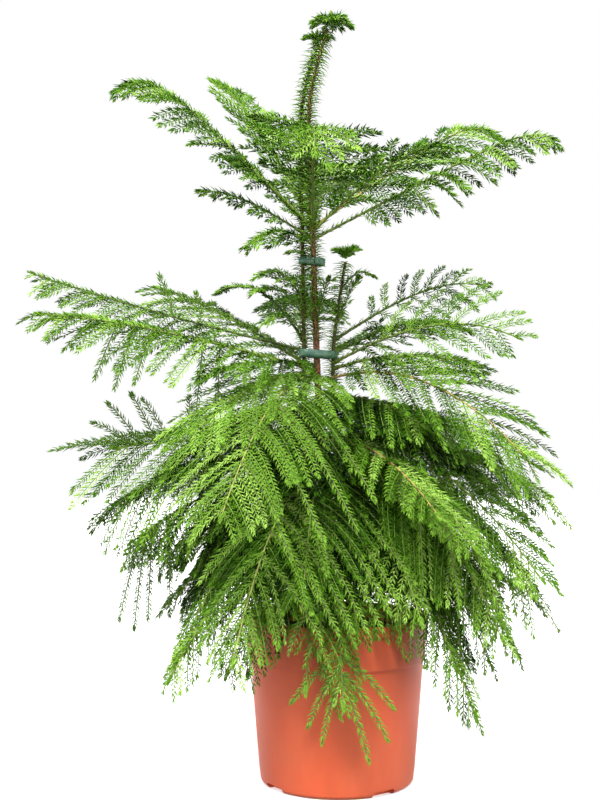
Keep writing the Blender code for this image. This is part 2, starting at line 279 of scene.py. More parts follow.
def carriedNormals(paths, first):
    # the first normal, carried along each path without twist
    along = directionsOf(paths)
    normals = np.empty_like(paths)
    carried = np.broadcast_to(first, paths[:, 0].shape)
    for k in range(paths.shape[1]):
        carried = unit(carried - along[:, k] * dot(carried, along[:, k]))
        normals[:, k] = carried
    return normals


def tubes(paths, normals, radii, sides):
    # closed tubes along many paths of the same number of points; radii may vary round the ring
    count, rings = paths.shape[:2]
    crosses = np.cross(directionsOf(paths), normals)
    turn = tau * np.arange(sides) / sides
    ringOffsets = turnedFrom(normals[:, :, None], crosses[:, :, None], turn[:, None])
    if radii.ndim == 2:
        radii = np.repeat(radii[:, :, None], sides, axis=2)
    points = paths[:, :, None] + ringOffsets * radii[..., None]
    ends = np.stack([paths[:, 0], paths[:, -1]], axis=1)
    allPoints = np.concatenate([points.reshape(count, -1, 3), ends], axis=1)
    k = np.arange(rings - 1)[:, None] * sides
    i = np.arange(sides)[None]
    after = (i + 1) % sides
    lower, lowerNext, upper, upperNext = k + i, k + after, k + sides + i, k + sides + after
    walls = np.concatenate([np.stack([lower, lowerNext, upperNext], -1).reshape(-1, 3),
                            np.stack([lower, upperNext, upper], -1).reshape(-1, 3)])
    foot, top = rings * sides, rings * sides + 1
    last = (rings - 1) * sides
    caps = [(foot, (n + 1) % sides, n) for n in range(sides)]
    caps += [(top, last + n, last + (n + 1) % sides) for n in range(sides)]
    oneTube = np.concatenate([walls, np.array(caps)])
    faces = oneTube[None] + (np.arange(count) * allPoints.shape[1])[:, None, None]
    return allPoints.reshape(-1, 3), faces.reshape(-1, 3)


# The pot

pot = {
    "height": 0.217,
    "rimRadius": 0.120,
    "footRadius": 0.1005,
    "wall": 0.0028,
    "floorTop": 0.0115,
    "rimDepth": 0.0135,
    "rimStep": 0.0026,
    "bandBottom": 0.161,
    "bandStep": 0.0020,
    "bandDraft": 0.0010,       # how much the band and the body narrow under the rim
    "bodyDraft": 0.0006,
    "innerFlare": 0.012,       # the inside's widening for each metre above the band's bottom
    "footRound": 0.007,
    "notchHeadings": (35, 125, 215, 305),
    "notchWidth": 0.034,
    "notchHeight": 0.008,
    "notchDepth": 0.013,
    "notchRound": 0.0028,
    "underRecess": 0.0025,
    "sides": 144,
    "colour": (0.92, 0.152, 0.058),
    "dustColour": (0.92, 0.24, 0.11),
}


def potBodyRadius(height):
    shoulder = pot["rimRadius"] - pot["rimStep"] - pot["bandDraft"] - pot["bandStep"] - pot["bodyDraft"]
    return pot["footRadius"] + (shoulder - pot["footRadius"]) * height / pot["bandBottom"]


def potInnerRadius(height):
    band = pot["bandBottom"]
    return potBodyRadius(min(height, band)) - pot["wall"] + pot["innerFlare"] * max(0, height - band)


def arcPoints(centreRadius, centreHeight, radius, start, end, steps):
    turns = [radians(start + (end - start) * i / steps) for i in range(steps + 1)]
    return [(centreRadius + radius * cos(t), centreHeight + radius * sin(t)) for t in turns]


def potProfile():
    top = pot["height"]
    rimBottom = top - pot["rimDepth"]
    rim = pot["rimRadius"]
    band = rim - pot["rimStep"]
    shoulder = pot["bandBottom"]
    body = potBodyRadius(shoulder)
    rounding = pot["footRound"]
    corner = pot["footRadius"] - rounding
    recess = pot["underRecess"]
    # from the middle of the underside out, up the wall, over the rim and down inside; the small steps
    # round off each moulded edge
    profile = [(0, recess), (corner - 0.016, recess), (corner - 0.0145, recess - 0.0005),
               (corner - 0.0125, 0.0003), (corner - 0.011, 0)]
    profile += arcPoints(corner, rounding, rounding, -90, -4, 8)
    for share in (0.12, 0.3, 0.5, 0.7, 0.9):
        profile.append((potBodyRadius(shoulder * share), shoulder * share))
    profile += [
        (body - 0.0001, shoulder - 0.0012),
        (body + 0.0001, shoulder - 0.0003),
        (body + pot["bandStep"] * 0.75, shoulder + 0.0002),
        (body + pot["bandStep"], shoulder + 0.0009),
        (body + pot["bandStep"] + 0.0001, shoulder + 0.0022),
        ((body + band) / 2 + pot["bandDraft"], (shoulder + rimBottom) / 2),
        (band, rimBottom - 0.0018),
        (band + 0.0002, rimBottom - 0.0004),
        (band + 0.0012, rimBottom),
        (rim - 0.0008, rimBottom),
        (rim - 0.0002, rimBottom + 0.0004),
        (rim, rimBottom + 0.0014),
        (rim - 0.0001, (rimBottom + top) / 2),
    ]
    profile += arcPoints(rim - 0.0023, top - 0.0022, 0.0022, 4, 176, 9)
    profile += [
        *((potInnerRadius(height), height) for height in (top - 0.008, 0.19, shoulder, pot["floorTop"])),
        (0, pot["floorTop"]),
    ]
    return profile


def turnedShape(profile, sides):
    shape = bmesh.new()
    line = [shape.verts.new((radius, 0, height)) for radius, height in profile]
    edges = [shape.edges.new(pair) for pair in zip(line, line[1:])]
    bmesh.ops.spin(shape, geom=line + edges, cent=(0, 0, 0), axis=(0, 0, 1), angle=tau, steps=sides)
    bmesh.ops.remove_doubles(shape, verts=shape.verts, dist=0.00002)
    bmesh.ops.recalc_face_normals(shape, faces=shape.faces)
    return shape


def notchCutter(heading):
    # a round-cornered block, so that the cut-out has the rounded top corners of a moulded pot
    shape = bmesh.new()
    bmesh.ops.create_cube(shape, size=1)
    size = (2 * pot["notchDepth"], pot["notchWidth"], 2 * pot["notchHeight"])
    bmesh.ops.scale(shape, vec=size, verts=shape.verts)
    topEdges = []
    for edge in shape.edges:
        first, second = (corner.co for corner in edge.verts)
        if first.z > 0 and second.z > 0 and abs(first.x - second.x) > pot["notchDepth"]:
            topEdges.append(edge)
    bmesh.ops.bevel(shape, geom=topEdges, offset=pot["notchRound"], segments=4, affect="EDGES", profile=0.5)
    mesh = bpy.data.meshes.new(f"notch{heading}")
    shape.to_mesh(mesh)
    shape.free()
    cutter = bpy.data.objects.new(mesh.name, mesh)
    scene.collection.objects.link(cutter)
    turn = radians(heading)
    cutter.location = (pot["footRadius"] * cos(turn), pot["footRadius"] * sin(turn), 0)
    cutter.rotation_euler = (0, 0, turn)
    return cutter


def potPlastic():
    finish = newFinish("potPlastic", pot["colour"], 0.5)
    shaderOf(finish).inputs["Specular IOR Level"].default_value = 0.3
    cloud = addNoise(finish, 14, 3)
    streaks = addNoise(finish, 60, 2, (1, 1, 0.12))
    speckle = addNoise(finish, 900, 1)
    colour = veil(finish, cloud, 0.42, 0.72, 0.30, pot["colour"], pot["dustColour"])
    colour = veil(finish, streaks, 0.45, 0.75, 0.22, colour, shade(pot["colour"], 0.82))
    colour = veil(finish, speckle, 0.60, 0.75, 0.16, colour, shade(pot["colour"], 0.6))
    feedShader(finish, "Base Color", colour)
    roughnessFrom(finish, cloud, 0.42, 0.56)
    bumpFrom(finish, addNoise(finish, 520, 2), 0.00012, 0.5)
    return finish


def makePot():
    shape = turnedShape(potProfile(), pot["sides"])
    mesh = bpy.data.meshes.new("potShell")
    shape.to_mesh(mesh)
    shape.free()
    shell = bpy.data.objects.new("potShell", mesh)
    scene.collection.objects.link(shell)
    cutters = [notchCutter(heading) for heading in pot["notchHeadings"]]
    for cutter in cutters:
        cut = shell.modifiers.new(cutter.name, "BOOLEAN")
        cut.object = cutter
        cut.solver = "EXACT"
    applyModifiers(shell)
    for cutter in cutters:
        bpy.data.objects.remove(cutter)
    shell.data.materials.clear()
    shell.data.materials.append(potPlastic())
    shell.data.shade_smooth()
    shell.data.set_sharp_from_angle(angle=radians(38))
    settlePiece(shell, ["pot"])


def applyModifiers(piece):
    graph = bpy.context.evaluated_depsgraph_get()
    finished = bpy.data.meshes.new_from_object(piece.evaluated_get(graph))
    piece.modifiers.clear()
    piece.data = finished


# The soil

soil = {
    "top": 0.197,
    "edgeDrop": 0.004,
    "depth": 0.03,
    "waves": ((0.05, 0.004), (0.017, 0.0036), (0.007, 0.0032), (0.0036, 0.0018)),      # length and height
    "rings": 56,
    "sides": 150,
    "crumbs": 420,
    "crumbSize": (0.0016, 0.0046),
    "crumbFlatness": (0.5, 1),
    "crumbRoughness": (0.75, 1.1),
    "crumbReach": 0.95,        # of the way out to the pot's wall
    "colour": (0.040, 0.026, 0.017),
    "crumbColour": (0.075, 0.042, 0.024),
    "paleCrumb": (0.16, 0.095, 0.055),
}


def bumpyHeights(x, y, waves, seed):
    # a sum of slanted waves, rough enough to read as loose crumb
    random = np.random.default_rng(seed)
    height = np.zeros_like(x)
    headings = 7
    for length, size in waves:
        for _ in range(headings):
            heading, phase = random.uniform(0, tau, 2)
            height += size / headings * np.sin((x * cos(heading) + y * sin(heading)) * tau / length + phase)
    return height


def soilHeights(x, y):
    reach = np.hypot(x, y)
    mound = soil["top"] - soil["edgeDrop"] * np.clip((reach - 0.05) / 0.06, 0, 1)
    return mound + bumpyHeights(x, y, soil["waves"], 5)


def makeSoil():
    rings, sides = soil["rings"], soil["sides"]
    edge = potInnerRadius(soil["top"]) - 0.0004
    radii = edge * (np.arange(1, rings + 1) / rings) ** 0.8
    turn = tau * np.arange(sides) / sides
    x = radii[:, None] * np.cos(turn)
    y = radii[:, None] * np.sin(turn)
    surface = np.stack([x, y, soilHeights(x, y)], -1)
    under = soil["top"] - soil["depth"]
    bottom = np.stack([x[-1], y[-1], np.full(sides, under)], -1)
    points = np.concatenate([surface.reshape(-1, 3), bottom, [[0, 0, soil["top"]], [0, 0, under]]])
    i = np.arange(sides)
    after = (i + 1) % sides
    faces = []
    for k in range(rings):
        low, high = k * sides, (k + 1) * sides
        faces += [np.stack([low + i, high + i, high + after], -1),
                  np.stack([low + i, high + after, low + after], -1)]
    edgeStart = rings * sides
    topMiddle = edgeStart + sides
    faces.append(np.stack([np.full(sides, topMiddle), i, after], -1))
    faces.append(np.stack([np.full(sides, topMiddle + 1), edgeStart + after, edgeStart + i], -1))
    finish = newFinish("soilCrumb", soil["colour"], 0.95)
    grain = addNoise(finish, 420, 5)
    marks = ((0.3, shade(soil["colour"], 0.5)), (0.5, soil["colour"]), (0.72, soil["crumbColour"]))
    feedShader(finish, "Base Color", rampOf(finish, grain, marks))
    bumpFrom(finish, grain, 0.0012)
    makePiece("soilTop", points, np.concatenate(faces), finish, "soil", ["soil"])
    makeCrumbs(edge)


def makeCrumbs(edge):
    # bits of bark and peat that lie on the soil
    random = np.random.default_rng(31)
    shape = bmesh.new()
    bmesh.ops.create_icosphere(shape, subdivisions=1, radius=1)
    ball = np.array([corner.co for corner in shape.verts])
    ballFaces = np.array([[corner.index for corner in face.verts] for face in shape.faces])
    shape.free()
    crumbs = []
    for _ in range(soil["crumbs"]):
        reach = edge * soil["crumbReach"] * random.uniform(0, 1) ** 0.5
        heading = random.uniform(0, tau)
        x, y = reach * cos(heading), reach * sin(heading)
        size = random.uniform(*soil["crumbSize"]) * random.uniform(*soil["crumbFlatness"], 3)
        lump = ball * random.uniform(*soil["crumbRoughness"], (len(ball), 1)) * size
        spin = random.uniform(0, tau)
        turned = np.stack([lump[:, 0] * cos(spin) - lump[:, 1] * sin(spin),
                           lump[:, 0] * sin(spin) + lump[:, 1] * cos(spin), lump[:, 2]], -1)
        height = soilHeights(np.array([x]), np.array([y]))[0]
        crumbs.append((turned + (x, y, height), ballFaces))
    finish = newFinish("crumbBark", soil["crumbColour"], 0.9)
    feedShader(finish, "Base Color", rampOf(finish, addNoise(finish, 160, 3), (
        (0.35, soil["colour"]), (0.55, soil["crumbColour"]), (0.75, soil["paleCrumb"]))))
    makePiece("soilCrumbs", *joined(crumbs), finish, "soil", smooth=False)


# The stems, whose bark is scaled with the bases of old needles

stems = {
    "trunk": {
        "stations": ((-0.006, 0.000, 0.1974), (-0.014, 0.001, 0.340), (-0.0225, 0.000, 0.470),
                     (-0.0275, 0.000, 0.590), (-0.0320, 0.000, 0.730), (-0.0368, 0.000, 0.870),
                     (-0.0290, 0.000, 0.930), (-0.0120, 0.000, 0.992)),
        "footRadius": 0.0075, "tipRadius": 0.0020, "flare": 0.005,
        "scales": 7, "scaleHeight": 0.0046, "sides": 28, "ringGap": 0.00125,
        "needlesFrom": 0.575, "needleGap": 0.00050,
    },
    "left_stem": {
        "stations": ((-0.034, 0.014, 0.1974), (-0.039, 0.010, 0.340), (-0.0415, 0.006, 0.470),
                     (-0.0433, 0.004, 0.575), (-0.0448, 0.005, 0.680), (-0.0458, 0.010, 0.745),
                     (-0.0470, 0.008, 0.870), (-0.0390, 0.007, 0.926), (-0.0240, 0.008, 0.974)),
        "footRadius": 0.0045, "tipRadius": 0.0016, "flare": 0.003,
        "scales": 5, "scaleHeight": 0.0038, "sides": 15, "ringGap": 0.0014,
        "needlesFrom": 0.505, "needleGap": 0.00052,
    },
    "right_stem": {
        "stations": ((0.021, -0.004, 0.1974), (0.008, -0.004, 0.340), (-0.0030, -0.003, 0.470),
                     (-0.0045, -0.002, 0.560), (0.0020, -0.002, 0.620), (0.0115, -0.001, 0.682)),
        "footRadius": 0.0050, "tipRadius": 0.0020, "flare": 0.003,
        "scales": 5, "scaleHeight": 0.0038, "sides": 15, "ringGap": 0.0014,
        "needlesFrom": 0.505, "needleGap": 0.00060,
    },
}
bark = {
    "relief": 0.16,            # of the radius
    "flareHeight": 0.035,
    "red": (0.30, 0.085, 0.040),
    "dark": (0.085, 0.030, 0.016),
    "pale": (0.50, 0.23, 0.14),
    "young": {"trunk": (0.36, 0.19, 0.085), "left_stem": (0.24, 0.15, 0.060),
              "right_stem": (0.13, 0.11, 0.035)},
    "youngFrom": 0.35,         # the height where the bark starts to look young, and where it is all young
    "youngAt": {"trunk": 1.1, "left_stem": 0.65, "right_stem": 0.65},
}


def smoothLine(stations, count):
    # a Catmull-Rom curve through the stations
    stations = np.array(stations, float)
    spans = len(stations) - 1
    place = np.linspace(0, spans, count)
    span = np.minimum(place.astype(int), spans - 1)
    t = (place - span)[:, None]
    before, start = stations[np.maximum(span - 1, 0)], stations[span]
    end, after = stations[span + 1], stations[np.minimum(span + 2, spans)]
    return 0.5 * (2 * start + (end - before) * t + (2 * before - 5 * start + 4 * end - after) * t ** 2
                  + (3 * start - before - 3 * end + after) * t ** 3)


stemLines = {name: smoothLine(stem["stations"], 2000) for name, stem in stems.items()}


def stemPoint(name, heights):
    line = stemLines[name]
    return np.stack([np.interp(heights, line[:, 2], line[:, axis]) for axis in range(3)], -1)


def stemRadius(name, heights):
    stem = stems[name]
    foot, top = stem["stations"][0][2], stem["stations"][-1][2]
    rise = np.clip((heights - foot) / (top - foot), 0, 1)
    flare = stem["flare"] * np.maximum(0, 1 - (heights - foot) / bark["flareHeight"]) ** 2
    return stem["footRadius"] + (stem["tipRadius"] - stem["footRadius"]) * rise ** 0.8 + flare


def barkScales(heights, turns, scales, scaleHeight):
    # each old needle's base is a low tongue, widest and thickest at its top
    row = heights / scaleHeight
    rowNumber = np.floor(row)
    up = row - rowNumber
    across = 2 * ((turns / tau * scales + 0.5 * (rowNumber % 2)) % 1) - 1
    width = 0.95 - 0.35 * (1 - up)
    return np.clip(1 - (across / width) ** 2, 0, 1) ** 0.6 * (0.25 + 0.75 * up)


def barkFinish(name, young, low, high):
    finish = newFinish(f"{name}Skin", bark["red"], 0.8)
    scales = addNoise(finish, 420, 3, (1, 1, 0.6))
    blotches = addNoise(finish, 46, 2)
    old = rampOf(finish, scales, ((0.34, bark["dark"]), (0.52, bark["red"]), (0.70, bark["pale"])))
    young = threeTones(finish, scales, (0.34, 0.55, 0.70), young, 0.4, 1.5)
    tree = finish.node_tree
    rise = rescaled(tree, placeAlong(tree, "Object", "Z"), low, high, 0, 1)
    lift = addNode(tree, "Math", {})
    lift.operation = "MULTIPLY_ADD"
    for socket, value in zip(lift.inputs, (blotches, 0.8, rise)):
        setSocket(tree, socket, value)
    feedShader(finish, "Base Color", veil(finish, lift.outputs[0], 0.45, 1.0, 1, old, young))
    bumpFrom(finish, addNoise(finish, 900, 3), 0.0003, 0.7)
    return finish


def makeStem(name, stem):
    foot, top = stem["stations"][0][2], stem["stations"][-1][2]
    heights = np.arange(foot, top, stem["ringGap"])
    path = stemPoint(name, heights)[None]
    turns = tau * np.arange(stem["sides"]) / stem["sides"]
    relief = barkScales(heights[:, None], turns[None], stem["scales"], stem["scaleHeight"])
    radii = stemRadius(name, heights)[:, None] * (1 - bark["relief"] + 1.25 * bark["relief"] * relief)
    normals = carriedNormals(path, np.array([[0.0, -1.0, 0.0]]))
    finish = barkFinish(name, bark["young"][name], bark["youngFrom"], bark["youngAt"][name])
    makePiece(f"{name}_bark", *tubes(path, normals, radii[None], stem["sides"]), finish, "bark", [name])


# The boughs. A rib leaves its stem at a height, runs out over its reach, would gain climb if it
# stayed straight, and loses sag to its own weight. Its branchlets spread to each side and their
# ends fall; roll lifts the left side. Each rib carries its branchlets from its bare part on;
# a sprig carries needles alone. A bough on another bough has a share of its length for a height.
# Reach, climb, sag, spread and fall are in millimetres here, to keep the rows short.

# A bough's freshness sets its needles' tints. It is partly real fresh growth and partly painted light: high
# values paint lit, pale boughs, and low or negative ones paint shade in darker tints.
boughWords = ("stem", "height", "heading", "reach", "climb", "sag", "curl", "spread", "fall", "bare",
              "freshness", "roll", "rib")
leafy = {"roll": 0, "rib": "green"}        # unless a row says otherwise
boughRows = {
    "top_left": ("trunk", 0.728, 186, 259, 247, 74, 7, 50, 34, 0.2, 0.45, -22),
    "top_back_left": ("trunk", 0.736, 130, 196, 246, 28, 5, 52, 8, 0.26, 0.6, 10),
    "top_left_low": ("trunk", 0.712, 176, 154, 100, 34, 3.3, 17, 13, 0.24, 0.4, 0, "dark"),
    "top_front": ("trunk", 0.73, 270, 250, 140, 100, 6, 70, 28, 0.22, 0.55, -10),
    "top_right": ("trunk", 0.728, 18, 276, 195, 60, 7, 48, 22, 0.22, 0.5, 25, "tan"),
    "top_right_low": ("trunk", 0.712, 349, 318, 155, 37, 10, 42, 42, 0.22, 0.5, 10),
    "top_back": ("trunk", 0.724, 82, 230, 170, 45, 5, 60, 22, 0.22, 0.45),
    "middle_left": ("left_stem", 0.565, 190, 358, 85, -12, 3, 52, 42, 0.24, 0.45, -18, "dark"),
    "middle_left_low": ("trunk", 0.538, 199, 370, 92, 26, 3, 70, 50, 0.14, 0.5, -20),
    "middle_left_twig": ("left_stem", 0.5758, 163, 124, 210, 143.5, 2, 18, 4, 0.3, 0.2, 0, "dark"),
    "middle_right": ("right_stem", 0.578, 14, 220, 140, 64, 3, 46, 18, 0.2, 0.5, 45, "dark"),
    "middle_right_low": ("right_stem", 0.548, 344, 246, 120, 93, 2.7, 58, 14, 0.16, 0.5, 50),
    "middle_back_right": ("right_stem", 0.56, 50, 300, 110, 60, 3, 60, 30, 0.06, 0.4),
    "middle_back": ("trunk", 0.6, 96, 300, 110, 60, 3, 58, 30, 0.06, 0.45),
    "middle_back_left": ("left_stem", 0.548, 140, 290, 150, 30, 3, 60, 28, 0.06, 0.45),
    "low_right": ("trunk", 0.523, 331, 290, 80, 180, 2.2, 84, 22, 0.16, 0.38, 20, "tan"),
    "low_front_left": ("trunk", 0.53, 247, 290, 0, 172, 2.2, 105, 42, 0.04, 0.85, 0, "straw"),
    "low_front_right": ("trunk", 0.448, 303, 250, 14, 105, 2.2, 54, 26, 0.16, 0.7, 0, "tan"),
    "low_left": ("trunk", 0.452, 188, 275, 4, 20, 2, 74, 40, 0.1, 0.6, -30),
    "low_right_back": ("right_stem", 0.452, 9, 300, 30, 115, 2, 66, 56, 0.06, 0.5, 15),
    "low_centre_right": ("right_stem", 0.415, 312, 240, 50, 150, 2.3, 54, 36, 0.08, 0.7),
    "low_back_left": ("left_stem", 0.485, 136, 300, 30, 130, 2, 62, 30, 0.06, 0.35, -10),
    "low_back": ("trunk", 0.44, 97, 300, 40, 130, 2, 70, 36, 0.06, 0.45, 0, "tan"),
    "low_back_right": ("right_stem", 0.495, 50, 300, 40, 130, 2, 70, 36, 0.06, 0.4),
    "skirt_left": ("trunk", 0.405, 197, 258, 20, 110, 2, 50, 72, 0.1, 0.5),
    "skirt_left_front": ("trunk", 0.33, 219, 250, 40, 215, 2, 62, 70, 0.12, 0.4),
    "skirt_front_left": ("trunk", 0.385, 243, 245, 55, 255, 2.2, 88, 66, 0.12, 0.75, 0, "straw"),
    "skirt_front": ("trunk", 0.32, 266, 190, 60, 190, 2, 56, 50, 0.14, 0.7),
    "skirt_front_right": ("right_stem", 0.365, 299, 190, 40, 180, 2.2, 50, 50, 0.14, 0.65),
    "skirt_right_front": ("right_stem", 0.325, 320, 205, 60, 280, 2, 60, 66, 0.14, 0.4),
    "skirt_right": ("right_stem", 0.39, 343, 235, 30, 250, 2.2, 56, 56, 0.1, 0.4, 10),
    "skirt_right_back": ("right_stem", 0.328, 25, 280, 40, 135, 2, 50, 40, 0.12, 0.45),
    "skirt_back_right": ("right_stem", 0.395, 54, 240, 30, 200, 2.2, 56, 36, 0.1, 0.5, 0, "tan"),
    "skirt_back": ("left_stem", 0.325, 88, 235, 50, 230, 2, 56, 36, 0.12, 0.4),
    "skirt_back_left": ("left_stem", 0.395, 128, 240, 30, 200, 2.2, 56, 36, 0.1, 0.45, 0, "tan"),
    "skirt_left_back": ("left_stem", 0.325, 164, 205, 40, 150, 2, 50, 40, 0.12, 0.35),
}
# Smaller boughs that fill in between them, so that the crown is closed round the stems and over the pot.
upperFillRows = {
    "top_fill_right": ("trunk", 0.722, 322, 190, 130, 40, 3, 60, 20, 0.2, 0.5),
    "top_fill_left_up": ("trunk", 0.722, 160, 120, 125, 20, 4, 40, 12, 0.12, 0.4, 0, "dark"),
    "top_fill_left": ("trunk", 0.706, 206, 85, 40, 42, 3, 34, 26, 0.14, 0.6),
    "middle_shoot_a": ("left_stem", 0.631, 205, 62, 105, 75, 2, 24, 10, 0.2, 0.9),
    "middle_shoot_b": ("left_stem", 0.611, 188, 66, 105, 75, 2, 24, 10, 0.2, 0.9),
    "middle_shoot_c": ("left_stem", 0.62, 245, 45, 95, 60, 2, 24, 10, 0.2, 0.8),
    "middle_shoot_d": ("left_stem", 0.585, 215, 60, 85, 72, 2, 24, 10, 0.2, 0.8),
    "middle_shoot_e": ("trunk", 0.6, 300, 34, 70, 12, 3, 14, 6, 0.3, 0.3, 0, "dark"),
    "middle_shoot_f": ("right_stem", 0.6446, 350, 46, 75, 60, 2, 8, 4, 0.2, 0.3, 0, "dark"),
    "middle_shoot_g": ("right_stem", 0.6, 330, 34, 70, 10, 3, 12, 4, 0.3, 0.3, 0, "dark"),
    "middle_shoot_h": ("trunk", 0.676, 200, 38, 50, 34, 2, 10, 4, 0.2, 0.6, 0, "dark"),
    "middle_fill_left": ("trunk", 0.534, 224, 215, 6, 85, 2, 90, 36, 0.08, 0.85),
    "middle_fill_right": ("trunk", 0.5, 318, 180, 30, 70, 2, 60, 40, 0.08, 0.35),
    "middle_fill_left_low": ("trunk", 0.545, 222, 170, 20, 30, 2, 55, 30, 0.08, 0.2, 0, "dark"),
    "middle_fill_right_low": ("right_stem", 0.54, 338, 195, 62, 60, 2, 62, 40, 0.08, 0.5, 15),
    "low_fill_left": ("trunk", 0.43, 196, 275, 20, 85, 2, 80, 70, 0.1, 0.4, -22),
    "low_fill_hanging": ("left_stem", 0.41, 188, 190, 20, 150, 2, 50, 55, 0.3, 0.6),
}
lowerFillRows = {
    "low_fill_right_edge": ("right_stem", 0.42, 340, 260, 40, 215, 2, 66, 56, 0.1, 0.4, 20),
    "low_fill_back": ("trunk", 0.47, 72, 250, 40, 110, 2, 75, 45, 0.08, 0.45),
    "low_fill_back_left": ("left_stem", 0.45, 118, 260, 40, 120, 2, 70, 45, 0.08, 0.4),
    "low_fill_back_right": ("right_stem", 0.45, 28, 260, 40, 120, 2, 70, 45, 0.08, 0.4),
    "low_fill_right_tip": ("right_stem", 0.47, 345, 268, 60, 120, 2, 56, 30, 0.3, 0.4, 30),
    "low_fill_right_up": ("right_stem", 0.49, 335, 215, 50, 100, 2, 66, 50, 0.1, 0.3),
    "low_fill_right": ("right_stem", 0.44, 335, 280, 50, 220, 2, 80, 40, 0.1, 0.5, 30),
    "low_fill_front": ("trunk", 0.42, 285, 130, 30, 140, 2, 80, 50, 0.1, -0.5),
    "skirt_fill_front": ("trunk", 0.4, 262, 200, 30, 170, 2, 75, 45, 0.1, -0.5),
    "skirt_fill_left_front": ("trunk", 0.35, 238, 185, 30, 220, 2, 55, 45, 0.1, -0.5),
    "skirt_fill_right_mid": ("right_stem", 0.38, 340, 200, 50, 220, 2.2, 60, 50, 0.1, -0.3, 20),
    "skirt_fill_right_in": ("right_stem", 0.35, 330, 180, 50, 240, 2.2, 55, 45, 0.1, -0.5, 10),
    "skirt_fill_right": ("right_stem", 0.4, 325, 240, 50, 250, 2.2, 75, 50, 0.1, 0.45, 20),
    "skirt_fill_right_low": ("right_stem", 0.36, 318, 185, 50, 250, 2.2, 55, 40, 0.1, 0.1),
    "skirt_fill_left": ("left_stem", 0.36, 214, 200, 20, 215, 2, 55, 45, 0.1, 0.3),
    "skirt_fill_left_low": ("trunk", 0.36, 232, 200, 30, 230, 2.2, 55, 40, 0.1, 0.35),
    "skirt_fill_right_weep": ("right_stem", 0.36, 335, 205, 50, 250, 2.2, 56, 60, 0.1, 0.2, 10),
    "skirt_fill_rim": ("trunk", 0.315, 283, 150, 50, 150, 2.2, 60, 60, 0.12, 0.3),
    "skirt_fill_back": ("trunk", 0.36, 75, 190, 40, 210, 2.2, 60, 50, 0.1, 0.45),
    "skirt_fill_back_right": ("right_stem", 0.36, 38, 190, 40, 210, 2.2, 60, 50, 0.1, 0.4),
    "skirt_fill_back_left": ("left_stem", 0.36, 108, 190, 40, 210, 2.2, 60, 50, 0.1, 0.4),
    "skirt_fill_left_back": ("left_stem", 0.36, 148, 200, 40, 200, 2.2, 60, 50, 0.1, 0.4),
    "skirt_fill_right_back": ("right_stem", 0.36, 8, 200, 40, 200, 2.2, 60, 50, 0.1, 0.4),
    "skirt_finger_left": ("trunk", 0.3, 259, 160, 55, 215, 2.4, 56, 60, 0.3, 0.6),
    "skirt_finger_mid": ("trunk", 0.3, 275, 170, 60, 238, 2.4, 36, 40, 0.3, 0.7),
    "skirt_finger_right": ("right_stem", 0.3, 285, 125, 60, 155, 2.4, 56, 56, 0.3, 0.45),
}
# Sprigs: their tier, the bough they grow on, curl, bare part and freshness (which also paints light and
# shade), and then for each one its share of that bough's length, heading, reach, climb and sag.
sprigFans = (              # at the outline, on the left
    ("middle", "middle_left", 3, 0.3, 0.4, (
        (0.48, 190, 20, 60, 5), (0.38, 185, 8, 46, 4))),
    ("middle", "middle_left_low", 2, 0.2, 0.5, (
        (0.72, 205, 30, -62, 10), (0.66, 190, 26, -70, 10), (0.6, 215, 26, -60, 10))),
    ("middle", "middle_left_low", 2, 0.3, 0.1, (
        (0.42, 205, 12, -110, 0), (0.36, 205, 4, -85, 0))),
    ("low", "low_left", 3, 0.3, 0.1, (
        (0.85, 190, 45.5, 60.5, 6), (0.78, 190, 35, 72, 6), (0.72, 190, 36, 60, 4),
        (0.89, 190, 54.5, 40, 10), (0.62, 190, 3, 62, 4))),
    ("low", "skirt_left", 2, 0.1, -0.2, (
        (0.93, 197, 30, -80, 30), (0.91, 197, 16, -95, 30), (0.88, 197, 6, -90, 30),
        (0.86, 17, 4, -55, 20), (0.8, 17, 2, -100, 30))),
)
strandFans = (             # hanging over the front
    ("skirt", "skirt_front_left", 1.6, 0.1, 0.5, (
        (0.12, 308, 180, 0, 100), (0.2, 306, 181, -20, 108), (0.28, 307, 176, -20, 120),
        (0.36, 308, 170, -20, 130), (0.44, 309, 152, -20, 120), (0.52, 310, 137, -20, 105),
        (0.6, 312, 120, -20, 90), (0.7, 316, 100, -20, 70))),
    ("skirt", "low_centre_right", 1.3, 0.06, 0.5, (
        (0.45, 290, 30, -20, 140), (0.6, 275, 35, -20, 120), (0.75, 300, 40, -15, 110))),
    ("skirt", "low_centre_right", 1.4, 0.06, 0.5, (
        (0.9, 330, 50, -10, 90),)),
    ("skirt", "skirt_finger_mid", 2, 0.06, 0.5, (
        (0.86, 188, 62, -24, 30), (0.88, 192, 42, -40, 34), (0.9, 200, 26, -50, 34),
        (0.92, 345, 33, -60, 36), (0.9, 350, 56, -40, 40), (0.86, 352, 64, -30, 30))),
    ("low", "low_front_left", 1.6, 0.1, 0.5, (
        (0.35, 309, 165, -20, 115), (0.5, 308, 160, -30, 115), (0.65, 306, 135, -30, 100),
        (0.8, 304, 105, -20, 85))),
)
